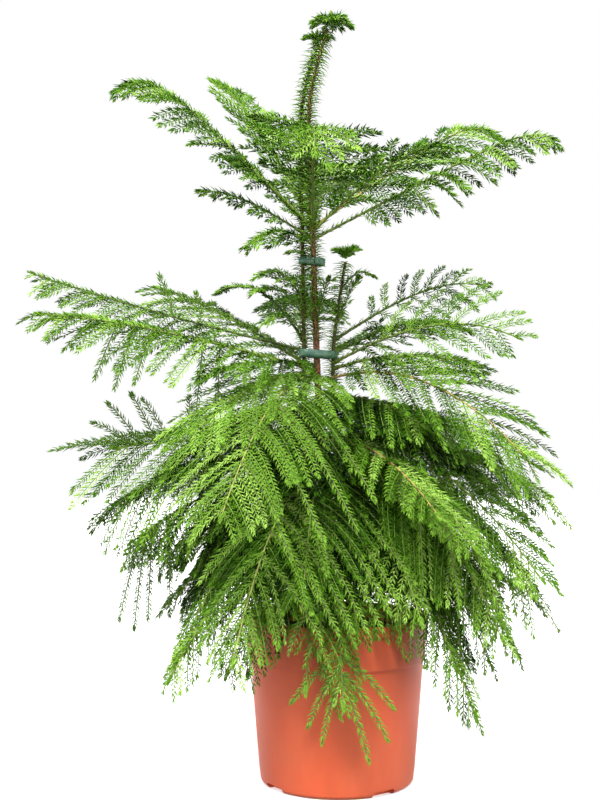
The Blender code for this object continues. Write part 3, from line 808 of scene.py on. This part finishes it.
# Boughs inside the crown whose very dark tints are painted shade: round the stems, then above those, then at
# the pot's rim.
innerShadedBough = {"freshness": -1.2, "roll": 0, "rib": "dark"}
innerRows = (
    ("trunk", 0.43, 268, 130, 10, 130, 1.5, 60, 60, 0.1),
    ("trunk", 0.33, 255, 120, 20, 100, 1.5, 60, 50, 0.1),
    ("right_stem", 0.42, 300, 130, 10, 130, 1.5, 60, 60, 0.1),
    ("right_stem", 0.44, 345, 150, 10, 130, 1.5, 70, 60, 0.1),
    ("right_stem", 0.33, 335, 140, 20, 90, 1.5, 70, 50, 0.1),
    ("right_stem", 0.44, 40, 150, 10, 130, 1.5, 80, 70, 0.1),
    ("trunk", 0.44, 90, 150, 10, 130, 1.5, 80, 70, 0.1),
    ("trunk", 0.33, 70, 140, 20, 90, 1.5, 80, 50, 0.1),
    ("left_stem", 0.43, 140, 150, 10, 130, 1.5, 80, 70, 0.1),
    ("left_stem", 0.43, 190, 160, 10, 130, 1.5, 80, 60, 0.1),
    ("left_stem", 0.33, 200, 150, 20, 90, 1.5, 70, 50, 0.1),
    ("left_stem", 0.4, 230, 140, 10, 120, 1.5, 70, 60, 0.1),
    ("left_stem", 0.5, 205, 170, 20, 90, 1.6, 70, 50, 0.08),
    ("trunk", 0.5, 262, 150, 10, 110, 1.6, 70, 50, 0.08),
    ("right_stem", 0.5, 330, 170, 20, 90, 1.6, 70, 50, 0.08),
    ("trunk", 0.51, 60, 170, 20, 80, 1.6, 75, 50, 0.08),
    ("left_stem", 0.49, 120, 170, 20, 80, 1.6, 75, 50, 0.08),
    ("trunk", 0.29, 278, 120, 30, 60, 2, 55, 30, 0.15),
    ("right_stem", 0.285, 312, 115, 30, 60, 2, 55, 30, 0.15),
    ("right_stem", 0.33, 292, 110, 10, 60, 2, 55, 40, 0.15),
    ("trunk", 0.275, 300, 100, 30, 40, 2, 50, 30, 0.15),
    ("trunk", 0.29, 225, 110, 30, 60, 2, 55, 30, 0.15),
)
openness = {                   # how much farther apart the branchlets stand than on a close bough
    "top_right": 1.05, "top_right_low": 1.05,
    "middle_right": 1.5, "middle_right_low": 1.75, "middle_left": 1.1, "skirt_front": 1.35,
    "skirt_finger_left": 3.4, "skirt_finger_mid": 1.2, "skirt_finger_right": 3.2, "skirt_front_left": 1.3,
    "low_right": 1.15, "skirt_front_right": 1.25, "low_centre_right": 1.2, "low_front_right": 1.2,
    "middle_shoot_a": 0.8, "middle_shoot_b": 0.8, "middle_shoot_c": 0.8, "middle_shoot_d": 0.8,
    "low_front_left": 0.86, "low_fill_right": 0.85, "low_fill_right_edge": 0.85, "low_fill_left": 0.85,
    "skirt_left": 0.9, "skirt_right": 0.9, "low_left": 0.9,
}
fineness = {                   # the needles' length and width beside the usual, by tier and on single boughs
    "top": 1.15, "middle": 0.95, "low": 0.88, "skirt": 0.88, "inner": 1.0, "low_front_left": 0.78,
    "low_right": 0.98, "low_left": 0.98, "low_fill_left": 0.95, "skirt_left": 0.95, "low_fill_right": 0.95,
    "low_fill_right_edge": 0.95, "skirt_right": 0.95, "low_right_back": 0.95,
}
bluntness = {                  # how long a bough's last branchlets are beside its longest
    "skirt_finger_left": 0.85, "skirt_finger_right": 0.85, "low_right": 0.75, "low_left": 1.0,
    "low_fill_left": 0.5, "skirt_left": 0.4, "low_right_back": 0.6, "low_fill_right_edge": 0.5,
}
tiers = ("top", "middle", "low", "skirt", "inner")

ribs = {
    "radius": 0.0022,
    "tipRadius": 0.0008,
    "fullLength": 0.18,        # a shorter rib is thinner
    "sides": 6,
    "ringGap": 0.0030,
    "colours": {"tan": (0.55, 0.35, 0.12), "straw": (0.46, 0.44, 0.13), "green": (0.25, 0.30, 0.06),
                "dark": (0.10, 0.10, 0.035), "sprig": (0.16, 0.22, 0.04)},
    "needleGap": {"tan": 0.0040, "straw": 0.0030, "green": 0.0018, "dark": 0.0016, "sprig": 0.0017},
    "needleLength": 0.0105,
    "tipCount": 30,            # extra needles at a rib's tip, unless it is a sprig
    "collar": (0.5, 0.014),    # how much thicker it is where it leaves the stem, and for how far
    "nubs": (3, 0.0062),       # old needle bases: how many round it, and how far apart along it
    "relief": (0.9, 0.24),     # the thickness between the nubs, and what they add to it
    "lastRing": 0.995,
}
branchlets = {
    "gap": 0.0132,             # along one side of the rib, on a close bough
    "outward": 0.77,           # the sideways part of a branchlet's level length
    "leave": (66, 44),         # degrees from the rib, at its foot and at its tip
    "closing": 0.30,           # how far that angle has closed at the branchlet's end
    "rise": 0.20,
    "pull": (0.40, 1.00),      # how far the weight of a weeping one turns it down, at its foot and at its end
    "shortFoot": 0.55,         # the length of the first ones on a rib, beside the longest
    "shortTip": 0.25,          # the same for the last ones, unless the bough ends bluntly
    "fullFrom": 0.25,          # the shares of the rib between which they are longest
    "fullTo": 0.5,
    "stretch": 1.04,           # their length beside what the bough's spread and fall ask for
    "twist": 75,               # degrees a weeping one is turned to either side, at most
    "lastPlace": 0.985,
    "lost": 0.03,              # the share of them that is missing
    "placeJitter": 0.22,
    "leaveJitter": 6,
    "lengthSpread": (0.84, 1.12),
    "weepSpread": (0.7, 1.3),
    "riseSpread": (0.2, 1.6),
    "freshness": (0.55, 0.65),  # of the bough's own, at the rib's foot, and what its length adds; the darker tints near the stem, inside the crown, are painted shade
    "points": 8,
    "radius": (0.00090, 0.00050),
    "colour": (0.23, 0.38, 0.05),
}
needles = {
    "gap": 0.00156,            # along a branchlet, counting those on all its sides
    "length": 0.0110,
    "width": 0.00210,
    "innerGap": 0.00210,       # gap and width inside the crown, where fewer and wider ones close it
    "innerWidth": 0.0032,
    # degrees round the branchlet, in turn: mostly a comb, and all round a hanging one
    "seats": (0, 180, 50, -14, 194, 14, 166, 130),
    "hangingSeats": (0, 180, 90, 270, 30, 210, 120, 300),
    "leaveFoot": 57,           # degrees from the branchlet, where the needle leaves it and at its point
    "leavePoint": 36,
    "belly": 0.35,             # where it is widest and bends
    "keel": 0.9,               # how high its middle stands, beside half its width
    "tipCount": 4,             # extra needles at the branchlet's tip
    "tipStretch": 0.009,
    "freshStretch": 0.006,     # the end of a branchlet that bears the next paler tint
    "youngStretch": 0.014,     # the end where they lie closer to the branchlet and are shorter
    "youngCloser": (0.50, 0.65),
    "youngShorter": 0.40,
    "weepingFrom": 0.8,        # a bough weeps from this share of fall to spread on
    "fewest": 3,
    "placeJitter": 0.35,
    "seatJitter": 9,
    "leaveJitter": 5,
    "rollJitter": 0.8,
    "lengthSpread": (0.82, 1.14),
    "widthSpread": (0.85, 1.15),
}
tints = {
    "lime": (0.370, 0.620, 0.100),
    "bright": (0.200, 0.410, 0.036),
    "leaf": (0.108, 0.265, 0.012),
    "deep": (0.048, 0.145, 0.004),
    # the "old" tint is painted shade: a near-black green for needles deep in the crown, where shade falls
    "old": (0.010, 0.038, 0.001),
}


def addBoughs(rows, shared):
    for name, row in rows:
        boughs[name] = shared | dict(zip(boughWords, row))
        for word in ("reach", "climb", "sag", "spread", "fall"):
            boughs[name][word] /= 1000


def addSprigs(fans):
    for tier, stem, curl, bare, freshness, sprigs in fans:
        for height, heading, reach, climb, sag in sprigs:
            row = (stem, height, heading, reach, climb, sag, curl, 0, 0, bare, freshness, 0, "sprig")
            addBoughs([(f"{tier}_sprig_{len(boughs)}", row)], {})


# the dice are thrown bough by bough, so this order sets every needle's place
boughs = {}
addBoughs((boughRows | upperFillRows).items(), leafy)
addSprigs(sprigFans)
addBoughs(lowerFillRows.items(), leafy)
addSprigs(strandFans)
addBoughs(((f"inner_{number}", row) for number, row in enumerate(innerRows)), innerShadedBough)
for boughName, bough in boughs.items():
    bough["open"] = openness.get(boughName, 1)
    bough["blunt"] = bluntness.get(boughName, branchlets["shortTip"])
    bough["fine"] = fineness.get(boughName, fineness[boughName.split("_")[0]])
tintShares = {"lime": 0.55, "bright": 0.50, "leaf": 0.35, "deep": 0.45, "old": 0.80}
fresher = {"lime": "lime", "bright": "bright", "leaf": "bright", "deep": "leaf", "old": "deep"}


def dealTints(freshness):
    # a tint's number for each branchlet: the higher its freshness, the paler; low and negative values are
    # painted shade in darker tints
    ripe = np.maximum(0, freshness)
    lime = tintShares["lime"] * ripe ** 2
    bright = tintShares["bright"] * ripe
    leaf = tintShares["leaf"] * np.clip(1 + freshness, 0, 1) * np.minimum(1, 1.6 - freshness)
    deep = tintShares["deep"] * np.clip(1 - freshness, 0, 1)
    # the share of the "old" tint, which is painted shade
    old = tintShares["old"] * np.maximum(0, 0.5 - freshness)
    shares = np.stack([lime, bright, leaf, deep, old], axis=1)
    limits = np.cumsum(shares, axis=1) / shares.sum(axis=1, keepdims=True)
    return (dice.uniform(0, 1, (len(freshness), 1)) > limits[:, :-1]).sum(axis=1)


def boughFoot(bough):
    # on a stem at a height, or on another bough at a share of its length
    if bough["stem"] in stems:
        return stemPoint(bough["stem"], bough["height"])
    return ribPoints(boughs[bough["stem"]], bough["height"])


def ribPoints(bough, places):
    turn = radians(bough["heading"])
    inside = np.minimum(places, 1)
    lift = bough["climb"] * inside - bough["sag"] * inside ** bough["curl"]
    lift = lift + (bough["climb"] - bough["sag"] * bough["curl"]) * (places - inside)
    out = bough["reach"] * places
    return boughFoot(bough) + np.stack([out * cos(turn), out * sin(turn), lift], -1)


def ribFrames(bough, places):
    step = 0.002
    along = unit(ribPoints(bough, places + step) - ribPoints(bough, places - step))
    turn = radians(bough["heading"])
    side = np.broadcast_to(np.array([-sin(turn), cos(turn), 0.0]), along.shape)
    over = unit(np.cross(along, side))
    roll = radians(bough["roll"])
    return along, side * cos(roll) + over * sin(roll), over * cos(roll) - side * sin(roll)


def branchletLength(t, tip):
    # short at the rib's foot, full up to its middle, and shorter again to the tip
    foot, fullTo = branchlets["shortFoot"], branchlets["fullTo"]
    growing = foot + (1 - foot) * np.clip(t / branchlets["fullFrom"], 0, 1) ** 0.8
    return growing * (1 - (1 - tip) * np.clip((t - fullTo) / (1 - fullTo), 0, 1) ** 1.4)


def ribLength(bough):
    line = ribPoints(bough, np.linspace(0, 1, 60))
    return np.linalg.norm(np.diff(line, axis=0), axis=1).sum()


def growBranchlets(bough):
    # two ranks of branchlets that leave the rib, turn towards its tip and hang
    start = max(bough["bare"], 0.05)
    steps = int(ribLength(bough) * (1 - start) / (branchlets["gap"] * bough["open"]))
    places, sides = [], []
    for side in (1, -1):
        slots = (np.arange(steps) + 0.5 * (side > 0) + jitter(branchlets["placeJitter"], steps)) / steps
        places.append(start + (branchlets["lastPlace"] - start) * np.clip(slots, 0, 1))
        sides.append(np.full(steps, float(side)))
    places, sides = np.concatenate(places), np.concatenate(sides)
    kept = dice.uniform(0, 1, len(places)) > branchlets["lost"]
    places, sides = places[kept], sides[kept]
    count = len(places)
    t = (places - start) / (1 - start)
    along, across, over = ribFrames(bough, places)
    across = across * sides[:, None]
    full = branchlets["stretch"] * np.hypot(bough["spread"] / branchlets["outward"], bough["fall"])
    length = full * branchletLength(t, bough["blunt"]) * dice.uniform(*branchlets["lengthSpread"], count)
    leave = np.interp(t, (0, 1), branchlets["leave"]) + jitter(branchlets["leaveJitter"], count)
    weep = bough["fall"] / bough["spread"] * dice.uniform(*branchlets["weepSpread"], count)
    twist = (radians(branchlets["twist"]) * jitter(1, count) * np.minimum(1, weep))[:, None]
    rise = branchlets["rise"] * dice.uniform(*branchlets["riseSpread"], count)
    down = np.array([0.0, 0.0, -1.0])

    def wayAt(v):
        angles = np.radians(leave * (1 - branchlets["closing"] * v))[:, None]
        pull = np.interp(v, (0, 1), branchlets["pull"])
        return (turnedFrom(along, across, angles) + over * (rise * (1 - v) ** 2)[:, None]
                + down * (weep * pull)[:, None])

    path = grownPaths(ribPoints(bough, places), length, branchlets["points"], wayAt)
    faceWay = turnedFrom(over, np.cross(along, over), twist)
    atFoot, added = branchlets["freshness"]
    return path, faceWay, length, bough["freshness"] * (atFoot + added * t)


def needleShapes(bases, firstWay, lastWay, lengths, widths, over):
    # each needle is a bent, keeled blade: a foot, three points across its widest part, and a tip
    count = len(bases)
    wide = unit(np.cross(firstWay, over))
    keel = np.cross(wide, firstWay)
    roll = jitter(needles["rollJitter"], (count, 1))
    wide, keel = wide * np.cos(roll) + keel * np.sin(roll), keel * np.cos(roll) - wide * np.sin(roll)
    half = widths[:, None] * 0.5
    belly = bases + firstWay * (lengths * needles["belly"])[:, None]
    tip = belly + lastWay * (lengths * (1 - needles["belly"]))[:, None]
    ridge = belly + keel * half * needles["keel"]
    points = np.stack([bases, belly - wide * half, ridge, belly + wide * half, tip], axis=1)
    oneNeedle = np.array([(0, 2, 1), (0, 3, 2), (1, 2, 4), (2, 3, 4)])
    faces = oneNeedle[None] + (np.arange(count) * 5)[:, None, None]
    return points.reshape(-1, 3), faces.reshape(-1, 3)


def longNeedleShapes(bases, firstWay, lastWay, lengths, widths, over, rings):
    # a long needle of several keeled rings, which bends evenly from its first way to its last
    count = len(bases)
    wide = unit(np.cross(firstWay, over))
    keel = np.cross(wide, firstWay)
    points = np.empty((count, 3 * rings + 1, 3))
    place = bases
    for k in range(rings):
        half = (widths * 0.5 * (1 - 0.7 * (k / rings) ** 2))[:, None]
        ring = np.stack([-wide * half, keel * half, wide * half], axis=1)
        points[:, 3 * k:3 * k + 3] = place[:, None] + ring
        way = unit(firstWay + (lastWay - firstWay) * ((k + 0.5) / rings))
        place = place + way * (lengths / rings)[:, None]
    points[:, -1] = place
    faces = []
    for a in range(0, 3 * (rings - 1), 3):
        faces += [(a, a + 1, a + 4), (a, a + 4, a + 3), (a + 1, a + 2, a + 5), (a + 1, a + 5, a + 4)]
    a = 3 * (rings - 1)
    faces += [(a, a + 1, a + 3), (a + 1, a + 2, a + 3)]
    allFaces = np.array(faces)[None] + (np.arange(count) * points.shape[1])[:, None, None]
    return points.reshape(-1, 3), allFaces.reshape(-1, 3)


def readAlong(values, owner, place):
    # the values at a place, 0 to 1, along each owner's path
    spot = place * (values.shape[1] - 1)
    k = np.minimum(spot.astype(int), values.shape[1] - 2)
    share = (spot - k)[:, None]
    return values[owner, k] * (1 - share) + values[owner, k + 1] * share


def growNeedles(paths, normals, lengths, habit):
    # needles in turn along each path, and a few more at its tip; gives the plain ones and the fresh ones
    counts = np.maximum(habit["fewest"], lengths / habit["gap"]).astype(int)
    owner = np.repeat(np.arange(len(paths)), counts)
    number = np.arange(len(owner)) - np.repeat(np.cumsum(counts) - counts, counts)
    place = (number + 0.5 + jitter(habit["placeJitter"], len(owner))) / counts[owner]
    tipOwner = np.repeat(np.arange(len(paths)), habit["tipCount"])
    tipStretch = np.minimum(0.5, habit["tipStretch"] / lengths[tipOwner])
    tipPlace = 1 - dice.uniform(0, 1, len(tipOwner)) * tipStretch
    owner, place = np.concatenate([owner, tipOwner]), np.concatenate([place, tipPlace])
    count = len(owner)
    bases = readAlong(paths, owner, place)
    along = unit(readAlong(directionsOf(paths), owner, place))
    over = unit(readAlong(normals, owner, place))
    seats = np.array(habit["seats"])[np.arange(count) % len(habit["seats"])]
    seatAngles = np.radians(seats + jitter(habit["seatJitter"], count))[:, None]
    out = turnedFrom(np.cross(over, along), over, seatAngles)
    toTip = (1 - place) * lengths[owner]
    young = np.clip(1 - toTip / habit["youngStretch"], 0, 1)
    ways = []
    for leave, closer in zip((habit["leaveFoot"], habit["leavePoint"]), habit["youngCloser"]):
        angles = np.radians((leave + jitter(habit["leaveJitter"], count)) * (1 - closer * young))[:, None]
        ways.append(turnedFrom(along, out, angles))
    firstWay, lastWay = ways
    size = habit["length"] * dice.uniform(*habit["lengthSpread"], count) * (1 - habit["youngShorter"] * young)
    width = habit["width"] * dice.uniform(*habit["widthSpread"], count)
    fresh = toTip < habit["freshStretch"]
    return [needleShapes(bases[part], firstWay[part], lastWay[part], size[part], width[part], over[part])
            for part in (~fresh, fresh)]


def needleGreen(name, colour):
    finish = newFinish(name, colour, 0.5)
    shaderOf(finish).inputs["Specular IOR Level"].default_value = 0.08
    tones = threeTones(finish, addNoise(finish, 24, 2), (0.30, 0.50, 0.70), colour, 0.80, 1.18)
    feedShader(finish, "Base Color", tones)
    roughnessFrom(finish, addNoise(finish, 300, 1), 0.44, 0.58)
    return finish


def twigSkin(name, colour):
    finish = newFinish(name, colour, 0.6)
    tones = threeTones(finish, addNoise(finish, 120, 3), (0.32, 0.52, 0.72), colour, 0.62, 1.3)
    feedShader(finish, "Base Color", tones)
    bumpFrom(finish, addNoise(finish, 1200, 2), 0.0002, 0.6)
    return finish


def makeRib(bough):
    rings = int(ribLength(bough) / ribs["ringGap"])
    places = np.linspace(0, ribs["lastRing"], rings)
    path = ribPoints(bough, places)[None]
    firstNormal = (0.0, -1.0, 0.0) if bough["rib"] == "sprig" else (0.0, 0.0, 1.0)
    normals = carriedNormals(path, np.array([firstNormal]))
    turns = tau * np.arange(ribs["sides"]) / ribs["sides"]
    stout = min(1, ribLength(bough) / ribs["fullLength"])
    taper = stout * ribs["radius"] + (ribs["tipRadius"] - ribs["radius"] * stout) * places ** 0.7
    thicker, collarLength = ribs["collar"]
    collar = 1 + thicker * np.maximum(0, 1 - places * ribLength(bough) / collarLength)
    nubs = barkScales(places[:, None] * bough["reach"], turns[None], *ribs["nubs"])
    between, added = ribs["relief"]
    radii = (taper * collar)[:, None] * (between + added * nubs)
    return tubes(path, normals, radii[None], ribs["sides"]), path, normals


def ribTint(freshness):
    if freshness > 0.4:
        return "bright"
    return "leaf" if freshness > 0 else "deep"


def needleHabit(tier, bough):
    gap, width = needles["gap"], needles["width"]
    if tier == "inner":
        gap, width = needles["innerGap"], needles["innerWidth"]
    weeping = tier in ("low", "skirt") and bough["fall"] > needles["weepingFrom"] * bough["spread"]
    return dict(needles, gap=gap, length=needles["length"] * bough["fine"], width=width * bough["fine"],
                seats=needles["hangingSeats" if weeping else "seats"])


def growBough(tier, bough, ribPath, ribNormals, twigs, sprays):
    # adds a bough's branchlets to the twigs, and its needles to the sprays of each tint
    kind = bough["rib"]
    tipCount = needles["tipCount"] if kind == "sprig" else ribs["tipCount"]
    ribHabit = dict(needles, gap=ribs["needleGap"][kind], length=ribs["needleLength"] * bough["fine"],
                    tipCount=tipCount)
    ribNeedles = growNeedles(ribPath, ribNormals, np.array([ribLength(bough)]), ribHabit)
    sprays[ribTint(bough["freshness"])] += ribNeedles
    if kind == "sprig":
        return
    path, over, length, freshness = growBranchlets(bough)
    normals = carriedNormals(path, over)
    radii = np.broadcast_to(np.linspace(*branchlets["radius"], path.shape[1]), path.shape[:2])
    twigs.append(tubes(path, normals, radii, 3))
    habit = needleHabit(tier, bough)
    dealt = dealTints(freshness)
    for number, tint in enumerate(tints):
        chosen = dealt == number
        if chosen.any():
            plain, fresh = growNeedles(path[chosen], normals[chosen], length[chosen], habit)
            sprays[tint].append(plain)
            sprays[fresher[tint]].append(fresh)


def makeTier(tier):
    names = [name for name in boughs if name.startswith(tier + "_")]
    ribShapes = {kind: [] for kind in ribs["colours"]}
    ribOwners = {kind: [] for kind in ribs["colours"]}
    twigs = []
    sprays = {tint: [] for tint in tints}
    for name in names:
        bough = boughs[name]
        shape, ribPath, ribNormals = makeRib(bough)
        ribShapes[bough["rib"]].append(shape)
        if f"{name}_bough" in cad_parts:
            ribOwners[bough["rib"]].append(f"{name}_bough")
        growBough(tier, bough, ribPath, ribNormals, twigs, sprays)
    made = []
    for kind, shapes in ribShapes.items():
        if shapes:
            finish = twigSkin(f"{tier}Rib{kind.title()}", ribs["colours"][kind])
            owners = ribOwners[kind]
            made.append(makePiece(f"{tier}_ribs_{kind}", *joined(shapes), finish, "green_bark", owners))
    twigFinish = twigSkin(f"{tier}Branchlet", branchlets["colour"])
    made.append(makePiece(f"{tier}_branchlets", *joined(twigs), twigFinish, "green_bark"))
    masses = [f"{name}_foliage" for name in names if f"{name}_foliage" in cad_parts]
    for tint, shapes in sprays.items():
        if shapes:
            finish = needleGreen(f"{tier}Needle{tint.title()}", tints[tint])
            name = f"{tier}_needles_{tint}"
            made.append(makePiece(name, *joined(shapes), finish, "needles", masses, smooth=False))
    print(f"{tier} tier: {len(names)} boughs, {sum(len(piece.data.polygons) for piece in made)} faces")


# Stem needles and tufts

stemNeedles = {
    "length": 0.0165,
    "width": 0.0020,
    "leave": (62, 122),        # degrees from the stem, at foot and point: they stand out, then bend back down
    "leaveJitter": (12, 22),
    "tipLeave": (16, 10),      # how much farther those near the stem's tip stand out
    "tipStretch": 0.10,
    "lengthSpread": (0.7, 1.15),
    "seatTurn": 137.5,         # degrees from each needle to the next, round the stem
    "seatJitter": 0.3,
    "seatDepth": 0.9,          # of the stem's radius
    "rings": 3,
    "colour": (0.170, 0.340, 0.030),
}
tufts = {
    "leader_tuft": {"heart": (-0.0075, 0.000, 0.9975), "shoots": 13, "length": 0.031, "rise": 30,
                    "fall": 1.25, "needle": 0.0130, "bud": 0.0075},
    "left_tuft": {"heart": (-0.0255, 0.008, 0.979), "shoots": 7, "length": 0.020, "rise": 20,
                  "fall": 0.8, "needle": 0.0120, "bud": 0.004},
    "right_tuft": {"heart": (0.0120, -0.001, 0.6870), "shoots": 12, "length": 0.021, "rise": 54,
                   "fall": 1.0, "needle": 0.0125, "bud": 0.005},
}
tuftShoots = {
    "points": 7,
    "radius": (0.0016, 0.0009),
    "headingJitter": 0.2,
    "riseJitter": 9,
    "lengthSpread": (0.85, 1.08),
    "needles": {"gap": 0.00065, "width": 0.0019, "leaveFoot": 60, "leavePoint": 38, "tipCount": 16},
    "budHeight": 0.012,        # besides the bud's own size
    "budRings": (0.25, 0.30, 0.34, 0.42, 0.46, 0.34, 0.08),
}


def growStemNeedles(name, stem):
    foot, top = stem["needlesFrom"], stem["stations"][-1][2]
    count = int((top - foot) / stem["needleGap"])
    heights = foot + (top - foot) * (np.arange(count) + dice.uniform(0, 1, count)) / count
    turn = np.arange(count) * radians(stemNeedles["seatTurn"]) + jitter(stemNeedles["seatJitter"], count)
    up = unit(stemPoint(name, heights + 0.002) - stemPoint(name, heights - 0.002))
    front = unit(np.cross(up, (0.0, 1.0, 0.0)))
    out = turnedFrom(front, np.cross(up, front), turn[:, None])
    bases = stemPoint(name, heights) + out * (stemRadius(name, heights)[:, None] * stemNeedles["seatDepth"])
    tipStretch = stemNeedles["tipStretch"]
    near = np.clip((heights - top + tipStretch) / tipStretch, 0, 1)
    ways = []
    for leave, most, more in zip(stemNeedles["leave"], stemNeedles["leaveJitter"], stemNeedles["tipLeave"]):
        angles = np.radians(leave + jitter(most, count) + more * near)
        ways.append(turnedFrom(up, out, angles[:, None]))
    size = stemNeedles["length"] * dice.uniform(*stemNeedles["lengthSpread"], count)
    width = np.full(count, stemNeedles["width"])
    return longNeedleShapes(bases, *ways, size, width, up, stemNeedles["rings"])


def makeTuft(tuft):
    # a ring of short shoots round a bud; gives their skin and their needles
    shoots, points = tuft["shoots"], tuftShoots["points"]
    headings = tau * np.arange(shoots) / shoots + jitter(tuftShoots["headingJitter"], shoots)
    flat = np.stack([np.cos(headings), np.sin(headings), np.zeros(shoots)], -1)
    rise = np.radians(tuft["rise"] + jitter(tuftShoots["riseJitter"], shoots))
    length = tuft["length"] * dice.uniform(*tuftShoots["lengthSpread"], shoots)

    def wayAt(v):
        lift = np.sin(rise) - tuft["fall"] * v ** 1.5
        return flat * np.cos(rise)[:, None] + lift[:, None] * (0, 0, 1)

    path = grownPaths(tuft["heart"], length, points, wayAt)
    normals = carriedNormals(path, np.array([0.0, 0.0, 1.0]))
    radii = np.broadcast_to(np.linspace(*tuftShoots["radius"], points), path.shape[:2])
    habit = needles | tuftShoots["needles"] | {"length": tuft["needle"]}
    needleParts = joined(growNeedles(path, normals, length, habit))
    budRadii = tuft["bud"] * np.array([tuftShoots["budRings"]])
    budTop = (0, 0, tuftShoots["budHeight"] + tuft["bud"])
    budPath = np.array(tuft["heart"]) + np.linspace(0, 1, budRadii.size)[:, None] * budTop
    budNormals = carriedNormals(budPath[None], np.array([[1.0, 0.0, 0.0]]))
    skin = joined([tubes(path, normals, radii, 5), tubes(budPath[None], budNormals, budRadii, 10)])
    return skin, needleParts


def makeTips():
    darkNeedle = needleGreen("stemNeedle", stemNeedles["colour"])
    for name, stem in stems.items():
        makePiece(f"{name}_needles", *growStemNeedles(name, stem), darkNeedle, "needles", smooth=False)
    for name, tuft in tufts.items():
        skin, needleParts = makeTuft(tuft)
        makePiece(f"{name}_shoots", *skin, twigSkin(f"{name}Shoot", branchlets["colour"]), "green_bark")
        replaced = [name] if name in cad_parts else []
        green = needleGreen(f"{name}Needle", tints["bright"])
        makePiece(f"{name}_needles", *needleParts, green, "needles", replaced, smooth=False)


# Ties: flat bands of plastic round the stems

ties = {
    "upper_tie": {"left": -0.0505, "right": -0.0150, "y": 0.003, "height": 0.683, "depth": 0.0190,
                  "width": 0.0095, "tilt": 4},
    "lower_tie": {"left": -0.0500, "right": 0.0025, "y": 0.001, "height": 0.560, "depth": 0.0210,
                  "width": 0.0105, "tilt": 4},
}
tieBand = {
    "thickness": 0.0007,
    "hollow": 0.0002,          # how far its middle lies inside its edges
    "wave": 0.0003,            # how uneven it is, and the turn of the wave at each step
    "waveTurn": 2.1,
    "endSides": 12,
    "colour": (0.075, 0.190, 0.130),
    "pale": (0.15, 0.30, 0.21),
}


def makeTie(name, tie, finish):
    half, radius = tie["width"] / 2, tie["depth"] / 2
    middle = (tie["left"] + tie["right"]) / 2
    outline = []
    for centre, start in ((tie["right"] - radius, -90), (tie["left"] + radius, 90)):
        for i in range(tieBand["endSides"] + 1):
            turn = radians(start + 180 * i / tieBand["endSides"])
            outline.append((centre + radius * cos(turn), radius * sin(turn), cos(turn), sin(turn)))
    count = len(outline)
    points = []
    for i, (x, y, outX, outY) in enumerate(outline):
        wave = tieBand["wave"] * sin(i * tieBand["waveTurn"])
        thick, hollow = tieBand["thickness"], tieBand["hollow"]
        section = ((0, -half), (hollow, 0), (0, half), (thick, half), (thick + hollow, 0), (thick, -half))
        for inset, z in section:
            points.append((x - middle - outX * (inset + wave), y - outY * (inset + wave), z))
    points = np.array(points)
    tilt = radians(tie["tilt"])
    x, y, z = points.T
    turned = np.stack([x * cos(tilt) + z * sin(tilt) + middle, y + tie["y"],
                       z * cos(tilt) - x * sin(tilt) + tie["height"]], -1)
    ring = len(section)
    faces = []
    for i in range(count):
        after = (i + 1) % count
        for k in range(ring):
            nextK = (k + 1) % ring
            faces.append((i * ring + k, after * ring + k, after * ring + nextK, i * ring + nextK))
    makePiece(name + "_band", turned, np.array(faces), finish, "tie_plastic", [name])


def makeTies():
    finish = newFinish("tiePlastic", tieBand["colour"], 0.35)
    feedShader(finish, "Base Color", rampOf(finish, addNoise(finish, 90, 2), (
        (0.35, tieBand["colour"]), (0.65, tieBand["pale"]))))
    bumpFrom(finish, addNoise(finish, 500, 1), 0.0002, 0.5)
    for name, tie in ties.items():
        makeTie(name, tie, finish)


def makeFloor():
    half = studio["floorSize"] / 2
    mesh = bpy.data.meshes.new("floor")
    corners = [(-half, -half, 0), (half, -half, 0), (half, half, 0), (-half, half, 0)]
    mesh.from_pydata(corners, [], [(0, 1, 2, 3)])
    finish = newFinish("floorPaper", studio["floorColour"], 0.9)
    shaderOf(finish).inputs["Emission Color"].default_value = (1, 1, 1, 1)
    shaderOf(finish).inputs["Emission Strength"].default_value = studio["floorGlow"]
    mesh.materials.append(finish)
    floor = bpy.data.objects.new("floor", mesh)
    floor.visible_diffuse = False      # no light comes back up, so the plant's underside stays dark
    scene.collection.objects.link(floor)
    floor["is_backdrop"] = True


makeCamera()
makeLight()
makeFloor()
makePot()
print("pot made")
makeSoil()
print("soil made")
for stemName, stemFacts in stems.items():
    makeStem(stemName, stemFacts)
makeTies()
print("stems and ties made")
for tierName in tiers:
    makeTier(tierName)
makeTips()

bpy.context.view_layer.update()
faceCount = sum(len(piece.data.polygons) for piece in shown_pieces() if piece.type == "MESH")
print("whole plant:", faceCount, "faces")
